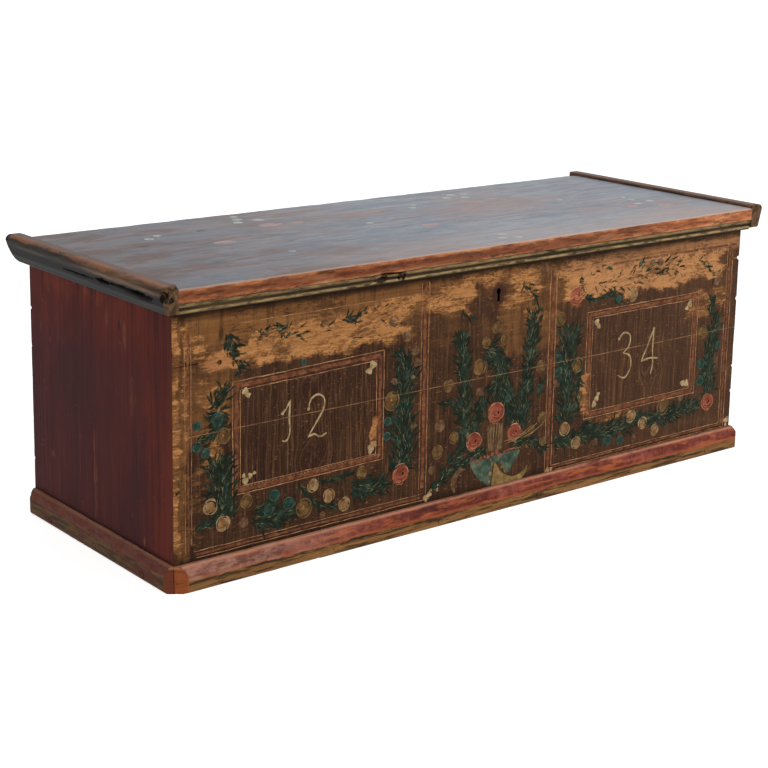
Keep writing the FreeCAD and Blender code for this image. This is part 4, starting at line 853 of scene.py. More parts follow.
faded_petals = Brush("faded_flowers", 0.36, 55)
teal_brush = Brush("teal_buds", 0.5, 56)
hearts = Brush("flower_hearts", 0.66, 57)
petal_lights = Brush("petal_lights", 0.6, 65)
teal_lights = Brush("teal_lights", 0.62, 66)
ochre_lights = Brush("ochre_lights", 0.55, 67)
eyes = Brush("dark_eyes", 0.8, 58)
touches = Brush("light_touches", 0.66, 59)


def ring(brush, across, up, radius, start, end, width, squash=0.9):
    """Part of a circle, pulled with a fine brush."""
    count = 9
    turns = [start + (end - start) * step / count for step in range(count + 1)]
    brush.stroke([(across + math.cos(turn) * radius * squash, up + math.sin(turn) * radius)
                  for turn in turns], [width * part / 2 for part in (0.3, 0.9, 1.0, 0.8, 0.3)])


def petals(brush, across, up, radius, count, squash=1.05):
    """Soft petals that run into each other round a middle."""
    brush.daub(across, up, radius, count, 0.1, squash, 0.45)
    brush.daub(across + brush.luck.uniform(-1, 1), up + brush.luck.uniform(-1, 1), radius * 0.7, 0, 0.0,
               squash, 0.5)


def rim_lights(brush, across, up, radius, count, width, squash=1.05):
    """Short light strokes round the rim of a flower, one to a petal."""
    turn = brush.luck.uniform(0, math.tau)
    for index in range(count):
        start = turn + math.tau * index / count
        ring(brush, across, up, radius * brush.luck.uniform(0.66, 0.8), start,
             start + 0.95 * math.tau / count, width * brush.luck.uniform(0.7, 1.2), squash)


for across, up, radius in roses:
    rose_brush.daub(across, up, radius * 1.06, 8, 0.05, 1.08, 0.7)
    rim_lights(rose_lights, across, up, radius * 1.12, 5, 2.4, 1.08)
    for share, start in ((0.62, 1.9), (0.36, 3.4)):
        ring(rose_lights, across, up, radius * share, start, start + 3.0, 1.5, 1.08)
    for index in range(4):
        angle = 3.5 + index * 0.42
        ring(rose_lights, across + math.cos(angle) * radius * 0.74, up + math.sin(angle) * radius * 0.8,
             radius * 0.2, angle - 1.4, angle + 1.4, 1.6)
    eyes.daub(across + radius * 0.24, up - radius * 0.02, radius * 0.21, 2, 0.2, 0.8)
for across, up, radius in cream_flowers:
    petals(cream_petals, across, up, radius * 1.1, 4, 0.98)
    rim_lights(petal_lights, across, up, radius * 1.16, 3, 5.0, 0.98)
    rim_lights(petal_lights, across, up, radius * 0.8, 2, 2.4, 0.98)
    hearts.daub(across, up, radius * 0.42, 3, 0.2, 0.95, 0.4)
for across, up, radius in ochre_flowers:
    petals(ochre_petals, across, up, radius * 1.12, 3, 0.94)
    rim_lights(ochre_lights, across, up, radius * 1.1, 3, 3.6, 0.94)
    ring(ochre_lights, across, up, radius * 0.4, 1.0, 4.4, 2.0)
for across, up, radius in ((604, 262, 17), (415, 235, 19), (89, 233, 16), (240, 87, 19)):
    hearts.daub(across - 1, up + 1, radius * 0.34, 3, 0.3, 0.9, 0.4)
for across, up, radius in faded_flowers:
    petals(faded_petals, across, up, radius * 1.05, 5)
for across, up, radius in teal_buds:
    teal_brush.daub(across, up, radius * 1.08, 5, 0.1, 1.1)
    rim_lights(teal_lights, across, up, radius, 3, 1.8)
    if radius > 9:
        ring(touches, across - radius * 0.1, up, radius * 0.4, 1.4, 3.0, 0.9)

# The bowl that the middle branches grow from: teal outside, an ochre lining that curls round
# at the right, a red rim, and two pale stems.
bowl = Brush("bowl_teal", 0.3, 61)
lining = Brush("bowl_ochre", 0.34, 62)
rim = Brush("bowl_rim", 0.5, 63)
stems = Brush("pale_stems", 0.2, 64)
bowl.fill([(583, 101), (602, 100), (624, 98), (645, 97), (641, 72), (638, 44), (624, 49), (609, 61),
           (594, 80)])
bowl.fill([(652, 92), (662, 100), (685, 101), (707, 100), (701, 86), (688, 73), (683, 61), (670, 62),
           (660, 77)])
bowl.fill([(638, 96), (650, 101), (664, 99), (666, 90), (657, 84), (648, 80), (640, 84)])
lining.fill([(644, 90), (650, 82), (662, 66), (678, 56), (692, 50), (690, 43), (664, 42), (639, 43),
             (641, 66)])
lining.stroke(curve([(678, 48), (696, 47), (710, 50), (719, 57), (723, 66)]), [6, 7, 7, 6, 4, 1.5])
for across, up, radius in ((640, 84, 6), (636, 67, 7), (634, 53, 6), (663, 75, 6), (671, 66, 6),
                           (655, 88, 5)):
    lining.daub(across, up, radius, 4, 0.3, 0.8)
rim.stroke(curve([(664, 102), (686, 103), (706, 102)]), [1.0, 2.0, 1.8, 0.8])
for across, up, radius in ((592, 100, 4), (600, 97, 5), (607, 92, 4), (613, 98, 5), (622, 100, 4),
                           (630, 98, 5), (636, 92, 3), (640, 101, 5), (650, 104, 6), (655, 97, 5),
                           (661, 92, 4), (668, 101, 4), (679, 98, 3)):
    rim.daub(across, up, radius, 4, 0.25)
for start, end in (((664, 120), (716, 128)), ((672, 115), (728, 136)), ((690, 117), (744, 140)),
                   ((706, 118), (758, 136))):
    middle = ((start[0] + end[0]) / 2, (start[1] + end[1]) / 2 - 3)
    touches.stroke(curve([start, middle, end], 5), [0.4, 1.3, 1.1, 0.4])
stems.stroke(curve([(638, 156), (637, 132), (636, 108)]), [9, 10, 9, 8])
stems.stroke(curve([(656, 156), (656, 132), (656, 108)]), [8, 9, 9, 8])
for offset in (-16, -10, -4, 2, 8, 13):
    touches.stroke(curve([(646 + offset * 1.1, 154), (645 + offset, 130), (646 + offset * 0.9, 106)]),
                   [0.4, 0.9, 0.7, 0.3])
faded_petals.stroke(curve([(580, 86), (562, 84), (552, 64), (556, 48)]), [1, 6, 8, 6, 2])
for brush, coat in (
        (rose_brush, oil_colour("rose", (100, 46, 33), (128, 62, 46), (154, 86, 65), 0.09, 0.3, 75, 0.12)),
        (rose_lights, oil_colour("rose_light", (150, 88, 64), (180, 116, 86), (204, 148, 114), 0.09, 0.35)),
        (cream_petals,
         oil_colour("cream_petal", (102, 72, 42), (136, 102, 66), (164, 130, 90), 0.08, 0.35, 80)),
        (petal_lights,
         oil_colour("petal_light", (116, 90, 58), (148, 118, 82), (180, 154, 116), 0.07, 0.4, 80)),
        (ochre_petals, oil_colour("ochre_petal", (74, 54, 30), (98, 73, 42), (126, 97, 60), 0.06, 0.4, 80)),
        (ochre_lights,
         oil_colour("ochre_light", (94, 70, 42), (114, 86, 52), (138, 108, 70), 0.06, 0.5, 80)),
        (faded_petals, oil_colour("faded_petal", (74, 50, 34), (98, 71, 50), (130, 98, 72), 0.09, 0.6, 80)),
        (teal_brush, oil_colour("teal", (22, 42, 36), (34, 58, 49), (54, 78, 66), 0.08, 0.3, 80)),
        (teal_lights, oil_colour("teal_light", (46, 72, 62), (66, 94, 82), (92, 118, 104), 0.08, 0.3, 80)),
        (hearts, oil_colour("red_heart", (128, 72, 44), (152, 94, 58), (170, 118, 78), 0.08, 0.3)),
        (eyes, oil_colour("dark_eye", (22, 16, 12), (32, 23, 18), (48, 35, 26), 0.1, 0.2)),
        (touches, oil_colour("light_touch", (104, 86, 58), (136, 110, 74), (166, 138, 98), 0.06, 0.5)),
        (bowl, oil_colour("bowl_teal", (42, 62, 53), (64, 84, 70), (104, 112, 90), 0.08, 0.5, 60)),
        (lining, oil_colour("bowl_ochre", (88, 72, 42), (126, 101, 60), (158, 130, 82), 0.08, 0.4, 60)),
        (rim, oil_colour("bowl_rim", (108, 54, 38), (136, 76, 56), (156, 100, 76), 0.06, 0.4, 60)),
        (stems, oil_colour("pale_stem", (66, 46, 32), (90, 66, 46), (124, 96, 70), 0.04, 0.5, 60, 0.08))):
    brush.dry("carcass", "front_paint", coat)

# The bottom and the till: sawn pine that was never painted. The bottom boards are nailed up
# into the walls, and the till boards are housed in the front and the back.


def dress(node, coat):
    """Gives a piece that keeps its shape its finish."""
    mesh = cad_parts[node].data
    mesh.materials.clear()
    mesh.materials.append(coat)


def raw_coat(name, stretch, shift, dust):
    coat = Coat(name)
    wood, rings = bare_pine(coat, stretch, shift)
    grey = coat.rise(coat.mottle((9, 9, 9), 6.0, 0.65, 0.0, shift), 0.35, 0.7)
    wood = coat.lay(wood, paint(104, 84, 64), coat.times(grey, dust))
    saw = coat.mottle([260 if value < 10 else 6 for value in stretch], 2.0, 0.5)
    return coat.dry(wood, 0.72, coat.reckon("ADD", rings, coat.times(saw, 0.3)), 0.6 * mm)


inner_pine = raw_coat("inside_pine", (5.0, 75.0, 75.0), 8.0, 0.35)
till_pine = raw_coat("till_pine", (75.0, 5.0, 75.0), 9.0, 0.3)
for node in ("bottom_front_board", "bottom_middle_board", "bottom_back_board"):
    dress(node, inner_pine)
for node in ("till_floor", "till_wall"):
    dress(node, till_pine)

# The foot moulding: pine planed to a sloping top, nailed round the foot of the box. Its
# slope is red and its upright foot was left tan, and both are kicked and scuffed. The front
# corner is cut off flat: its left half is painted, its right half worn to orange wood.
foot_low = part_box("base_moulding_front")[0]
foot_break = foot_low.z + 21 * mm
flat_middle = -0.3 * mm


def foot_coat():
    coat = Coat("scuffed_foot_moulding")
    wood, rings = bare_pine(coat, (6.0, 6.0, 120.0), 12.0)
    drag = coat.mottle((12, 12, 110), 7.0, 0.7, 0.2, 2.0)
    patchy = coat.blend(coat.mottle((9, 9, 40), 7.0, 0.72, 0.0, 3.0), 0.6,
                        coat.mottle((60, 60, 60), 5.0, 0.7))
    red = coat.shades(patchy, (0.38, paint(72, 34, 28)), (0.48, paint(106, 50, 40)),
                      (0.56, paint(140, 72, 58)), (0.66, paint(170, 108, 90)))
    orange = coat.rise(drag, 0.53, 0.62)
    slope = coat.stain(red, (180, 98, 56), orange, 0.7)
    uneven = coat.reckon("MULTIPLY_ADD", coat.waver((24, 24, 60), 9.0), 2 * mm, coat.z)
    light = coat.rise(coat.z, foot_break + 17 * mm, foot_break + 21 * mm)
    light = coat.times(light, coat.rise(drag, 0.34, 0.5))
    slope = coat.stain(slope, (204, 146, 116), light, 0.6)
    arris = coat.within(uneven, foot_break - 1.5 * mm, foot_break + 3 * mm, 1.5 * mm)
    slope = coat.stain(slope, (172, 92, 54), arris, 0.55)
    leaned = coat.fall(coat.x, front_left + 100 * mm, front_left + 420 * mm)
    scuffed = coat.rise(coat.mottle((40, 40, 130), 8.0, 0.76, 0.3, 29.0), 0.42, 0.58)
    scuffed = coat.reckon("MULTIPLY_ADD", scuffed, 0.5, 0.16)
    slope = coat.lay(slope, paint(182, 138, 118), coat.times(leaned, scuffed))
    # The left length has kept more of its red, and is dark with dirt near the floor.
    leftward = coat.fall(coat.x, front_left - 6 * mm, front_left - 2 * mm)
    slope = coat.stain(slope, (84, 36, 30), leftward, 0.75)
    tan = coat.lay(wood, paint(132, 98, 60), 0.5)
    streaks = coat.rise(coat.mottle((12, 12, 150), 7.0, 0.7, 0.0, 6.0), 0.50, 0.58)
    tan = coat.stain(tan, (46, 36, 24), streaks, 0.85)
    # Just under the break lies a ragged dark line: painted shade under the edge of the slope.
    shade_under_break = coat.within(uneven, foot_break - 6 * mm, foot_break - 1 * mm, 1.5 * mm)
    shade_under_break = coat.times(shade_under_break, coat.rise(coat.mottle((9, 9, 40), 7.0, 0.74, 0.0, 27.0), 0.44, 0.54))
    tan = coat.stain(tan, (42, 33, 24), shade_under_break, 0.85)
    tan = coat.stain(tan, (56, 46, 33), leftward, 0.5)
    smear = coat.rise(coat.mottle((16, 16, 50), 6.0, 0.7, 0.0, 19.0), 0.46, 0.56)
    tan = coat.lay(tan, paint(92, 46, 34), coat.times(coat.times(smear, leftward), 0.8))
    level = coat.reckon("MULTIPLY_ADD", leftward, -7 * mm, uneven)
    above = coat.rise(level, foot_break - 2.5 * mm, foot_break - 1 * mm)
    colour = coat.lay(tan, slope, above)
    # The flat across the left corner, found by how far a place lies behind it.
    behind = coat.reckon("MULTIPLY_ADD", coat.reckon("SUBTRACT", coat.x, front_left), 0.58,
                         coat.times(coat.reckon("SUBTRACT", coat.y, front_face), 0.814))
    flat = coat.fall(coat.reckon("ADD", behind, 0.46 * mm), 1.2 * mm, 2.6 * mm)
    flat = coat.times(flat, coat.fall(coat.x, front_left + 40 * mm, front_left + 42 * mm))
    halves = coat.lay(paint(116, 62, 44), paint(156, 84, 48),
                      coat.rise(coat.x, front_left + flat_middle - 0.2 * mm,
                                front_left + flat_middle + 0.4 * mm))
    halves = coat.lay(halves, paint(70, 44, 30), coat.times(coat.rise(drag, 0.5, 0.62), 0.6))
    joint = coat.within(coat.x, front_left + flat_middle - 0.6 * mm, front_left + flat_middle + 0.6 * mm,
                        0.2 * mm)
    halves = coat.stain(halves, (34, 20, 14), joint, 0.8)
    colour = coat.lay(colour, halves, flat)
    flat_top = coat.times(flat, coat.rise(coat.z, foot_break + 17 * mm, foot_break + 20 * mm))
    colour = coat.stain(colour, (190, 132, 96), flat_top, 0.6)
    top = coat.rise(coat.z, foot_break + 21 * mm, foot_break + 22.5 * mm)
    colour = coat.stain(colour, (120, 78, 58), top, 0.5)
    return coat.dry(colour, 0.5, coat.reckon("ADD", rings, drag), 0.9 * mm, 0.05)


scuffed_foot = foot_coat()
for seed, node in enumerate(("base_moulding_front", "base_moulding_left", "base_moulding_right"),
                            start=9):
    piece = worn(node, scuffed_foot, 6 * mm, 1.3 * mm, 1.2 * mm, (), seed)
    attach(piece, "carcass")
    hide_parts(node)
for node in ("base_nails_front", "base_nails_left", "base_nails_right"):
    dress(node, scuffed_foot)

# The lid: three boards, blue-grey over brown, polished by use and streaked along the grain.
# The front edge is red worn to orange wood, and the underside is bare.
lid_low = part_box("lid_front_board")[0]
lid_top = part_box("lid_front_board")[1].z
lid_front = lid_low.y


def lid_coat():
    coat = Coat("polished_lid")
    streaks = coat.mottle((4.5, 15, 15), 9.0, 0.72, 0.6)
    fine = coat.mottle((16, 90, 90), 7.0, 0.74, 0.4, 6.0)
    cloud = coat.mottle((2.6, 6.0, 6.0), 5.0, 0.64, 0.0, 4.0)
    lid_rightward = coat.rise(coat.x, front_left - 30 * mm, front_left + 820 * mm)
    colour = coat.shades(coat.blend(streaks, 0.55, fine), (0.36, paint(92, 97, 106)),
                         (0.47, paint(122, 129, 140)), (0.54, paint(145, 151, 160)),
                         (0.66, paint(175, 176, 179)))
    pink = coat.rise(coat.blend(coat.mottle((6, 17, 17), 8.0, 0.72, 0.5, 14.0), 0.6, cloud), 0.47, 0.60)
    colour = coat.stain(colour, (176, 144, 138), pink, 0.5)
    blue = coat.rise(coat.mottle((5, 15, 15), 8.0, 0.72, 0.5, 21.0), 0.50, 0.62)
    colour = coat.stain(colour, (112, 128, 150), blue, 0.45)
    # Brown shows through in long patches, most towards the left and the back.
    brown = coat.rise(coat.blend(cloud, 0.5, streaks), 0.49, 0.57)
    brown = coat.times(brown, coat.reckon("MULTIPLY_ADD", lid_rightward, -0.55, 0.8))
    colour = coat.lay(colour, paint(112, 78, 62), brown)
    orange = coat.rise(coat.mottle((12, 40, 40), 9.0, 0.76, 0.4, 8.0), 0.56, 0.64)
    orange = coat.times(orange, coat.reckon("MULTIPLY_ADD", lid_rightward, -0.3, 0.6))
    colour = coat.lay(colour, paint(156, 98, 70), orange)
    scratches = coat.rise(coat.mottle((5, 260, 260), 3.0, 0.6, 0.4, 9.0), 0.62, 0.68)
    colour = coat.stain(colour, (62, 48, 46), scratches, 0.5)
    pale = coat.rise(coat.mottle((4, 180, 180), 4.0, 0.6, 0.3, 19.0), 0.60, 0.68)
    colour = coat.stain(colour, (184, 182, 184), pale, 0.35)
    pits = coat.rise(coat.mottle((70, 100, 100), 6.0, 0.78, 0.3, 12.0), 0.58, 0.66)
    colour = coat.stain(colour, (70, 56, 54), pits, 0.3)
    grazes = coat.rise(coat.mottle((50, 80, 80), 6.0, 0.78, 0.3, 23.0), 0.58, 0.66)
    colour = coat.stain(colour, (168, 150, 144), grazes, 0.35)
    knots = coat.rise(coat.mottle((10, 22, 22), 3.0, 0.5, 0.0, 31.0), 0.69, 0.74)
    colour = coat.stain(colour, (50, 32, 28), knots, 0.8)
    # The left is painted darker than the right, as painted shade, and is duller.
    shade = coat.reckon("MULTIPLY_ADD", lid_rightward, -0.44, 0.44)
    colour = coat.lay(colour, paint(46, 42, 46), shade)
    # Towards the front and the right the lid is painted paler: a painted sheen.
    front_sheen = coat.times(coat.fall(coat.y, lid_front + 10 * mm, lid_front + 170 * mm), lid_rightward)
    colour = coat.stain(colour, (196, 176, 168), front_sheen, 0.3)
    # A pale line runs along the front arris.
    wandering = coat.reckon("MULTIPLY_ADD", coat.waver((14, 60, 60), 3.0), 1.2 * mm, coat.y)
    rim = coat.fall(wandering, lid_front + 1.0 * mm, lid_front + 3.5 * mm)
    colour = coat.stain(colour, (206, 164, 138), rim, 0.5)
    wood, rings = bare_pine(coat, (5.0, 95.0, 95.0), 5.0)
    under = coat.fall(coat.z, lid_top - 3 * mm, lid_top - 1.5 * mm)
    drag = coat.blend(coat.mottle((24, 80, 150), 9.0, 0.76, 0.4, 2.0), 0.6,
                      coat.mottle((7, 16, 50), 6.0, 0.7))
    edge = coat.shades(drag, (0.37, paint(98, 50, 34)), (0.46, paint(152, 88, 56)),
                       (0.54, paint(190, 122, 80)), (0.63, paint(214, 162, 116)))
    # Along its upper half, most to the left, the red is dark with hands.
    drooping = coat.reckon("MULTIPLY_ADD", coat.waver((18, 18, 40), 7.0), 4 * mm, coat.z)
    handled = coat.within(drooping, lid_top - 19 * mm, lid_top - 5 * mm, 3 * mm)
    handled = coat.times(handled, coat.fall(coat.x, front_right - 420 * mm, front_right - 120 * mm))
    edge = coat.stain(edge, (84, 40, 28), handled, 0.62)
    dirt = coat.rise(coat.mottle((18, 50, 130), 8.0, 0.76, 0.3, 17.0), 0.52, 0.60)
    edge = coat.stain(edge, (66, 42, 32), dirt, 0.7)
    front = coat.fall(coat.y, lid_front + 3 * mm, lid_front + 5 * mm)
    colour = coat.lay(colour, coat.lay(wood, edge, front), under)
    rough = coat.reckon("MULTIPLY_ADD", streaks, 0.3, 0.28)
    gloss = coat.reckon("MULTIPLY_ADD", lid_rightward, 0.1, 0.1)
    gloss = coat.times(gloss, coat.reckon("MULTIPLY_ADD", under, -0.7, 1.0))
    return coat.dry(colour, rough, coat.blend(streaks, 0.6, fine), 0.4 * mm, gloss)


edge_break = ((front_left + 384 * mm, lid_front, lid_top - 21 * mm), (20 * mm, 5 * mm, 5 * mm), 4.0 * mm)
edge_nicks = [((front_left + across * mm, lid_front, lid_top - drop * mm), (reach * mm, 3 * mm, 3 * mm),
               1.6 * mm)
              for across, drop, reach in ((214, 12, 4), (208, 20, 5), (322, 1, 5), (760, 2, 4),
                                          (990, 20, 6))]
whole_lid = (lid_low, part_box("lid_back_board")[1])
polished_lid = lid_coat()
for node in ("lid_front_board", "lid_middle_board", "lid_back_board"):
    piece = worn(node, polished_lid, 16 * mm, 0.9 * mm, 0.8 * mm, [edge_break] + edge_nicks, 12, whole_lid)
    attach(piece, "lid")
    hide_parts(node)

# What is left of the ornament on the lid: clusters of whitish dots and a few pink ovals,
# almost rubbed away.


def on_lid(across, back, out):
    """A place on the lid: from the left end and the front of the box, and up from the wood."""
    return (front_left + across * mm, front_face + back * mm, lid_top + out * mm)


def lid_colour(name, deep, light, keep):
    coat = Coat(name)
    drag = coat.mottle((14, 60, 60), 7.0, 0.72, 0.2, len(name))
    colour = coat.shades(drag, (0.4, paint(*deep)), (0.6, paint(*light)))
    ground = coat.shades(coat.mottle((3, 26, 26), 6.0, 0.7), (0.4, paint(96, 100, 114)),
                         (0.6, paint(138, 136, 146)))
    colour = coat.lay(colour, ground, coat.rise(drag, keep, keep + 0.14))
    return coat.dry(colour, 0.4, drag, 0.3 * mm, 0.14)


lid_dots = [(382, 402, 15), (368, 378, 14), (412, 380, 16), (392, 428, 11), (877, 401, 15),
            (847, 378, 14), (882, 366, 13), (905, 396, 11), (1135, 172, 14), (1118, 137, 13),
            (1160, 145, 13), (1142, 200, 10), (685, 42, 13), (664, 17, 12), (693, 9, 12), (160, 330, 13),
            (186, 348, 11), (560, 250, 10), (300, 120, 10), (1020, 250, 10), (722, 330, 11),
            (742, 352, 10)]
lid_ovals = [(402, 330, 34), (455, 322, 20), (860, 317, 34), (915, 326, 18), (1147, 92, 26),
             (1085, 118, 20), (250, 240, 30), (640, 180, 26)]
lid_white = Brush("lid_dots", 0.25, 71, on_lid)
lid_pink = Brush("lid_ovals", 0.2, 72, on_lid)
for across, back, radius in lid_dots:
    petals(lid_white, across, back, radius, 5)
for across, back, radius in lid_ovals:
    lid_pink.daub(across, back, radius * 0.55, 5, 0.12, 1.7)
lid_white.dry("lid", "lid_paint", lid_colour("lid_white", (160, 166, 158), (200, 204, 192), 0.5))
lid_pink.dry("lid", "lid_paint", lid_colour("lid_pink", (156, 122, 120), (184, 148, 140), 0.53))

# The beaded strip under the front edge of the lid, olive over wood, with a piece broken out left of its
# middle.
# Its hollow, its underside and the broken place are painted dark as shade, and its beads carry a painted
# highlight.


def strip_coat():
    coat = Coat("olive_strip")
    drag = coat.mottle((9, 60, 190), 7.0, 0.68, 0.2)
    colour = coat.shades(drag, (0.36, paint(42, 35, 23)), (0.5, paint(72, 59, 38)),
                         (0.64, paint(112, 90, 60)))
    wood = coat.rise(coat.mottle((14, 18, 90), 8.0, 0.7, 0.0, 3.0), 0.62, 0.68)
    colour = coat.lay(colour, paint(128, 82, 48), wood)
    high = strip_high.z - strip_foot
    # The upper bead is painted tan and the lower bead pale along its crest, as painted highlight; the hollow
    # between them is painted dark as shade.
    upper = coat.within(coat.z, strip_foot + high * 0.70, strip_foot + high * 0.95, high * 0.05)
    lower = coat.within(coat.z, strip_foot + high * 0.18, strip_foot + high * 0.38, high * 0.05)
    crest = coat.most(coat.times(upper, 0.6), lower)
    crest_highlight = coat.times(crest, coat.rise(coat.mottle((40, 50, 160), 6.0, 0.7, 0.0, 8.0), 0.36, 0.6))
    colour = coat.stain(colour, (182, 152, 106), crest_highlight, 0.75)
    hollow_shade = coat.within(coat.z, strip_foot + high * 0.44, strip_foot + high * 0.62, high * 0.05)
    colour = coat.stain(colour, (40, 32, 21), hollow_shade, 0.6)
    quirk = coat.rise(coat.z, strip_high.z - high * 0.05, strip_high.z)
    colour = coat.stain(colour, (26, 18, 12), quirk, 0.8)
    # The underside of the strip is painted dark: painted shade.
    under = coat.fall(coat.z, strip_foot + high * 0.04, strip_foot + high * 0.16)
    colour = coat.lay(colour, paint(30, 26, 17), under)
    # Inside the broken-out piece the wood is painted dark: painted shade.
    inside = coat.patch(coat.x, coat.z, front_left + 360 * mm, front_left + 424 * mm, strip_foot,
                        strip_high.z + 2 * mm, 1 * mm)
    inside = coat.times(inside, coat.rise(coat.y, strip_low.y + 2.5 * mm, strip_low.y + 4 * mm))
    colour = coat.stain(colour, (36, 25, 17), inside, 0.85)
    return coat.dry(colour, 0.5, drag, 0.6 * mm, 0.045)


strip_breaks = [
    ((front_left + 392 * mm, strip_low.y, strip_high.z - 1 * mm), (30 * mm, 9 * mm, 5 * mm), 5.5 * mm),
    ((front_left + 416 * mm, strip_low.y, strip_high.z - 5 * mm), (9 * mm, 9 * mm, 8 * mm), 7.0 * mm),
    ((front_left + 372 * mm, strip_low.y, strip_high.z - 8 * mm), (14 * mm, 6 * mm, 5 * mm), 2.5 * mm),
    ((front_left + 214 * mm, strip_low.y, strip_high.z - 5 * mm), (4 * mm, 5 * mm, 6 * mm), 2.0 * mm)]
piece = worn("lid_front_strip", strip_coat(), 8 * mm, 0.5 * mm, 0.6 * mm, strip_breaks, 15)
for vert in piece.data.vertices:
    vert.co.z = strip_high.z - (strip_high.z - vert.co.z) * strip_deepened
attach(piece, "lid")
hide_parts("lid_front_strip")

# The end cleats: dark slate boards that the lid's tongues are pegged into, worn brown along
# their upper part. The left one has a long split in its outer face and a broken front end.
cleat_low, cleat_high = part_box("lid_cleat_left")
right_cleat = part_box("lid_cleat_right")


def cleat_coat(name, outer, shift):
    """Outer is the X of the cleat's outer face."""
    coat = Coat(name)
    drag = coat.mottle((60, 7, 110), 7.0, 0.68, 0.2, shift)
    colour = coat.shades(drag, (0.36, paint(26, 25, 24)), (0.5, paint(44, 42, 40)),
                         (0.66, paint(72, 66, 58)))
    wavering = coat.waver((24, 16, 60), shift)
    uneven = coat.reckon("MULTIPLY_ADD", wavering, 3 * mm, coat.z)
    # The lower edge has kept its slate, and the crest is worn brown towards the front.
    slate = coat.fall(uneven, cleat_low.z + 9 * mm, cleat_low.z + 14 * mm)
    colour = coat.stain(colour, (62, 64, 66), slate, 0.5)
    frontward = coat.fall(coat.reckon("MULTIPLY_ADD", wavering, 30 * mm, coat.y), -120 * mm, 70 * mm)
    crest = coat.rise(uneven, cleat_high.z - 17 * mm, cleat_high.z - 14 * mm)
    brown = coat.shades(drag, (0.38, paint(64, 47, 35)), (0.52, paint(102, 76, 56)),
                        (0.66, paint(144, 112, 84)))
    browned = coat.times(crest, coat.reckon("MULTIPLY_ADD", frontward, 0.72, 0.14))
    colour = coat.lay(colour, brown, browned)
    arris = coat.rise(uneven, cleat_high.z - 5 * mm, cleat_high.z - 1.5 * mm)
    scraped = coat.rise(coat.mottle((40, 14, 40), 6.0, 0.7, 0.0, shift + 2.0), 0.36, 0.52)
    colour = coat.lay(colour, paint(150, 98, 64), coat.times(coat.times(arris, scraped), 0.75))
    # On top the lid's blue-grey runs over the inner half of the cleat.
    inward = coat.fall(coat.reckon("ABSOLUTE", coat.x), abs(outer) - 16 * mm, abs(outer) - 8 * mm)
    topside = coat.times(inward, coat.rise(coat.z, cleat_high.z - 2.5 * mm, cleat_high.z - 1 * mm))
    colour = coat.stain(colour, (96, 84, 82), topside, 0.65)
    # End grain at the front, olive and tan.
    grain = coat.mottle((110, 20, 60), 6.0, 0.7, 0.6, shift)
    tip = coat.shades(grain, (0.36, paint(50, 38, 26)), (0.5, paint(84, 62, 42)), (0.66, paint(126, 92, 62)))
    colour = coat.lay(colour, tip, coat.fall(coat.y, cleat_low.y + 2 * mm, cleat_low.y + 3.5 * mm))
    # Whatever lies below the old surface of the face is painted near black: painted shade in the split and
    # the broken end.
    deep = coat.reckon("SUBTRACT", abs(outer) - 1.2 * mm, coat.reckon("ABSOLUTE", coat.x))
    inside = coat.times(coat.rise(deep, 0.4 * mm, 1.8 * mm), coat.fall(deep, 13 * mm, 15 * mm))
    inside = coat.times(inside,
                        coat.within(coat.z, cleat_low.z + 12 * mm, cleat_high.z - 9 * mm, 1.5 * mm))
    inside = coat.times(inside, coat.rise(coat.y, cleat_low.y + 1.5 * mm, cleat_low.y + 3 * mm))
    colour = coat.stain(colour, (12, 9, 7), inside, 0.92)
    return coat.dry(colour, 0.46, drag, 0.8 * mm, 0.06)


split_z = 458 * mm
left_breaks = [
    ((cleat_low.x, -176 * mm, split_z), (12 * mm, 44 * mm, 5.0 * mm), 8.0 * mm),
    ((cleat_low.x, -120 * mm, split_z + 2 * mm), (10 * mm, 40 * mm, 2.4 * mm), 5.0 * mm),
    ((cleat_low.x, -72 * mm, split_z + 1 * mm), (10 * mm, 26 * mm, 3.8 * mm), 6.0 * mm),
    ((cleat_low.x, 4 * mm, split_z - 1 * mm), (10 * mm, 56 * mm, 1.6 * mm), 4.0 * mm),
    ((cleat_low.x + 4 * mm, cleat_low.y, split_z + 8 * mm), (9 * mm, 9 * mm, 9 * mm), 7.0 * mm),
    ((cleat_low.x + 18 * mm, cleat_low.y, split_z + 1 * mm), (8 * mm, 6 * mm, 6 * mm), 5.0 * mm),
    ((cleat_low.x + 22 * mm, cleat_low.y, cleat_high.z), (9 * mm, 10 * mm, 8 * mm), 5.0 * mm)]
right_breaks = [((right_cleat[0].x + 8 * mm, cleat_low.y, cleat_high.z), (8 * mm, 7 * mm, 6 * mm), 3.0 * mm)]
for seed, node, outer, chips in ((16, "lid_cleat_left", cleat_low.x, left_breaks),
                                 (17, "lid_cleat_right", right_cleat[1].x, right_breaks)):
    piece = worn(node, cleat_coat(node + "_paint", outer, seed), 8 * mm, 1.0 * mm, 0.9 * mm, chips, seed)
    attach(piece, "lid")
    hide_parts(node)

# Pegs, nails, hinges and the lock: split oak pegs, and iron that was forged black and has
# gone brown in places.


def iron_coat():
    coat = Coat("forged_iron")
    hammer = coat.mottle((90, 90, 90), 3.0, 0.5)
    rust = coat.rise(coat.mottle((55, 55, 55), 8.0, 0.7, 0.0, 5.0), 0.48, 0.66)
    black = coat.shades(hammer, (0.35, paint(38, 36, 35)), (0.65, paint(66, 62, 58)))
    colour = coat.lay(black, paint(92, 58, 40), rust)
    rough = coat.reckon("ADD", coat.times(rust, 0.3), 0.42)
    return coat.dry(colour, rough, hammer, 0.6 * mm, 0.5, Metallic=0.7)


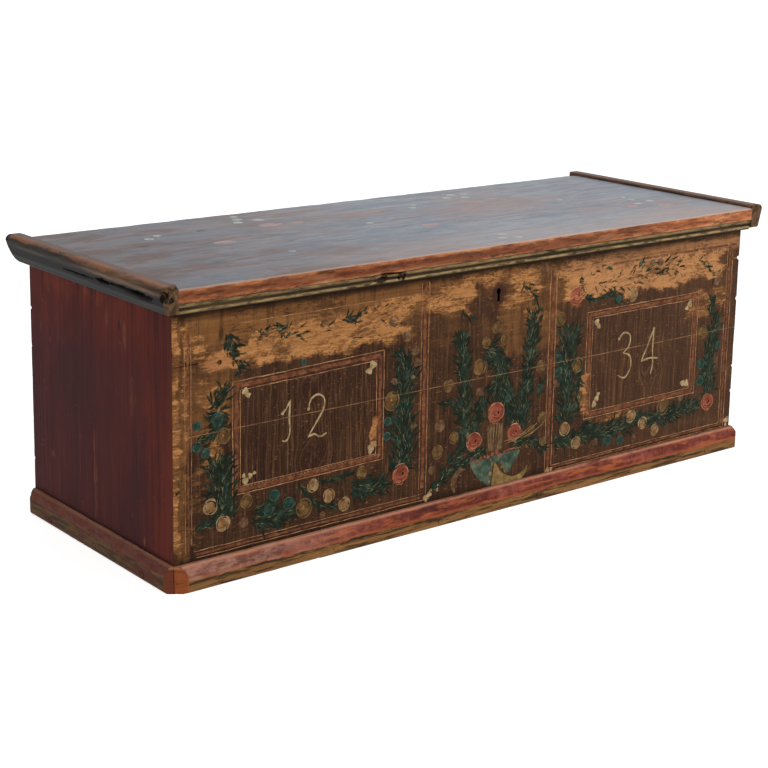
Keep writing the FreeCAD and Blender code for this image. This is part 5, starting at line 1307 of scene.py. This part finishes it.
forged_iron = iron_coat()
oak = raw_coat("oak_pegs", (90.0, 90.0, 6.0), 3.0, 0.5)
iron_pieces = ("hinge_", "lock_", "leaf_nails", "strap_nails", "bottom_nails", "staple_nails",
               "strip_brads", "lid_staple")
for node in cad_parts:
    if node.startswith(iron_pieces):
        dress(node, forged_iron)
    elif node.startswith("cleat_pegs"):
        dress(node, oak)

# The studio: a pale floor and a white surround, with one large soft lamp from the front and
# right and a weaker one from the left.
floor_reach = 30.0
floor_glow = 0.72
dimmed_surround = 0.5


def stage_coat():
    coat = Coat("pale_floor")
    path = coat.node("LightPath", {}).outputs
    seen = coat.most(path["Is Camera Ray"],
                     coat.most(path["Is Glossy Ray"], path["Is Transmission Ray"]))
    diffuse = coat.node("BsdfDiffuse", {"Color": (0.8, 0.8, 0.8, 1.0)})
    glow = coat.node("Emission", {"Color": (1.0, 1.0, 1.0, 1.0),
                                  "Strength": coat.times(seen, floor_glow)})
    both = coat.node("AddShader", {0: diffuse.outputs[0], 1: glow.outputs[0]})
    coat.node("OutputMaterial", {"Surface": both.outputs[0]})
    return coat.material


floor_mesh = bpy.data.meshes.new("floor")
floor_mesh.from_pydata([(-floor_reach, -floor_reach, 0), (floor_reach, -floor_reach, 0),
                        (floor_reach, floor_reach, 0), (-floor_reach, floor_reach, 0)], [], [(0, 1, 2, 3)])
floor_mesh.materials.append(stage_coat())
floor = bpy.data.objects.new("floor", floor_mesh)
bpy.context.scene.collection.objects.link(floor)


def soft_lamp(name, place, power, size):
    data = bpy.data.lights.new(name, "AREA")
    data.energy = power
    data.size = size
    lamp = bpy.data.objects.new(name, data)
    lamp.location = place
    lamp.rotation_euler = (look_at - Vector(place)).to_track_quat("-Z", "Y").to_euler()
    bpy.context.scene.collection.objects.link(lamp)


soft_lamp("key_lamp", (1.6, -3.1, 2.3), 78.0, 2.2)
soft_lamp("fill_lamp", (-3.4, -1.2, 1.6), 12.0, 2.0)

world = bpy.data.worlds.new("surround")
world.use_nodes = True
world.node_tree.nodes.clear()
paths = world.node_tree.nodes.new("ShaderNodeLightPath")
seen = paths.outputs["Is Camera Ray"]
for other in ("Is Glossy Ray", "Is Transmission Ray"):
    either = world.node_tree.nodes.new("ShaderNodeMath")
    either.operation = "MAXIMUM"
    world.node_tree.links.new(seen, either.inputs[0])
    world.node_tree.links.new(paths.outputs[other], either.inputs[1])
    seen = either.outputs[0]
level = world.node_tree.nodes.new("ShaderNodeMapRange")
level.inputs["To Min"].default_value = dimmed_surround
level.inputs["To Max"].default_value = 1.0
world.node_tree.links.new(seen, level.inputs["Value"])
surround = world.node_tree.nodes.new("ShaderNodeBackground")
surround.inputs["Color"].default_value = (1.0, 1.0, 1.0, 1.0)
world.node_tree.links.new(level.outputs[0], surround.inputs["Strength"])
world_out = world.node_tree.nodes.new("ShaderNodeOutputWorld")
world.node_tree.links.new(surround.outputs[0], world_out.inputs["Surface"])
bpy.context.scene.world = world
bpy.context.scene.view_settings.view_transform = "Standard"
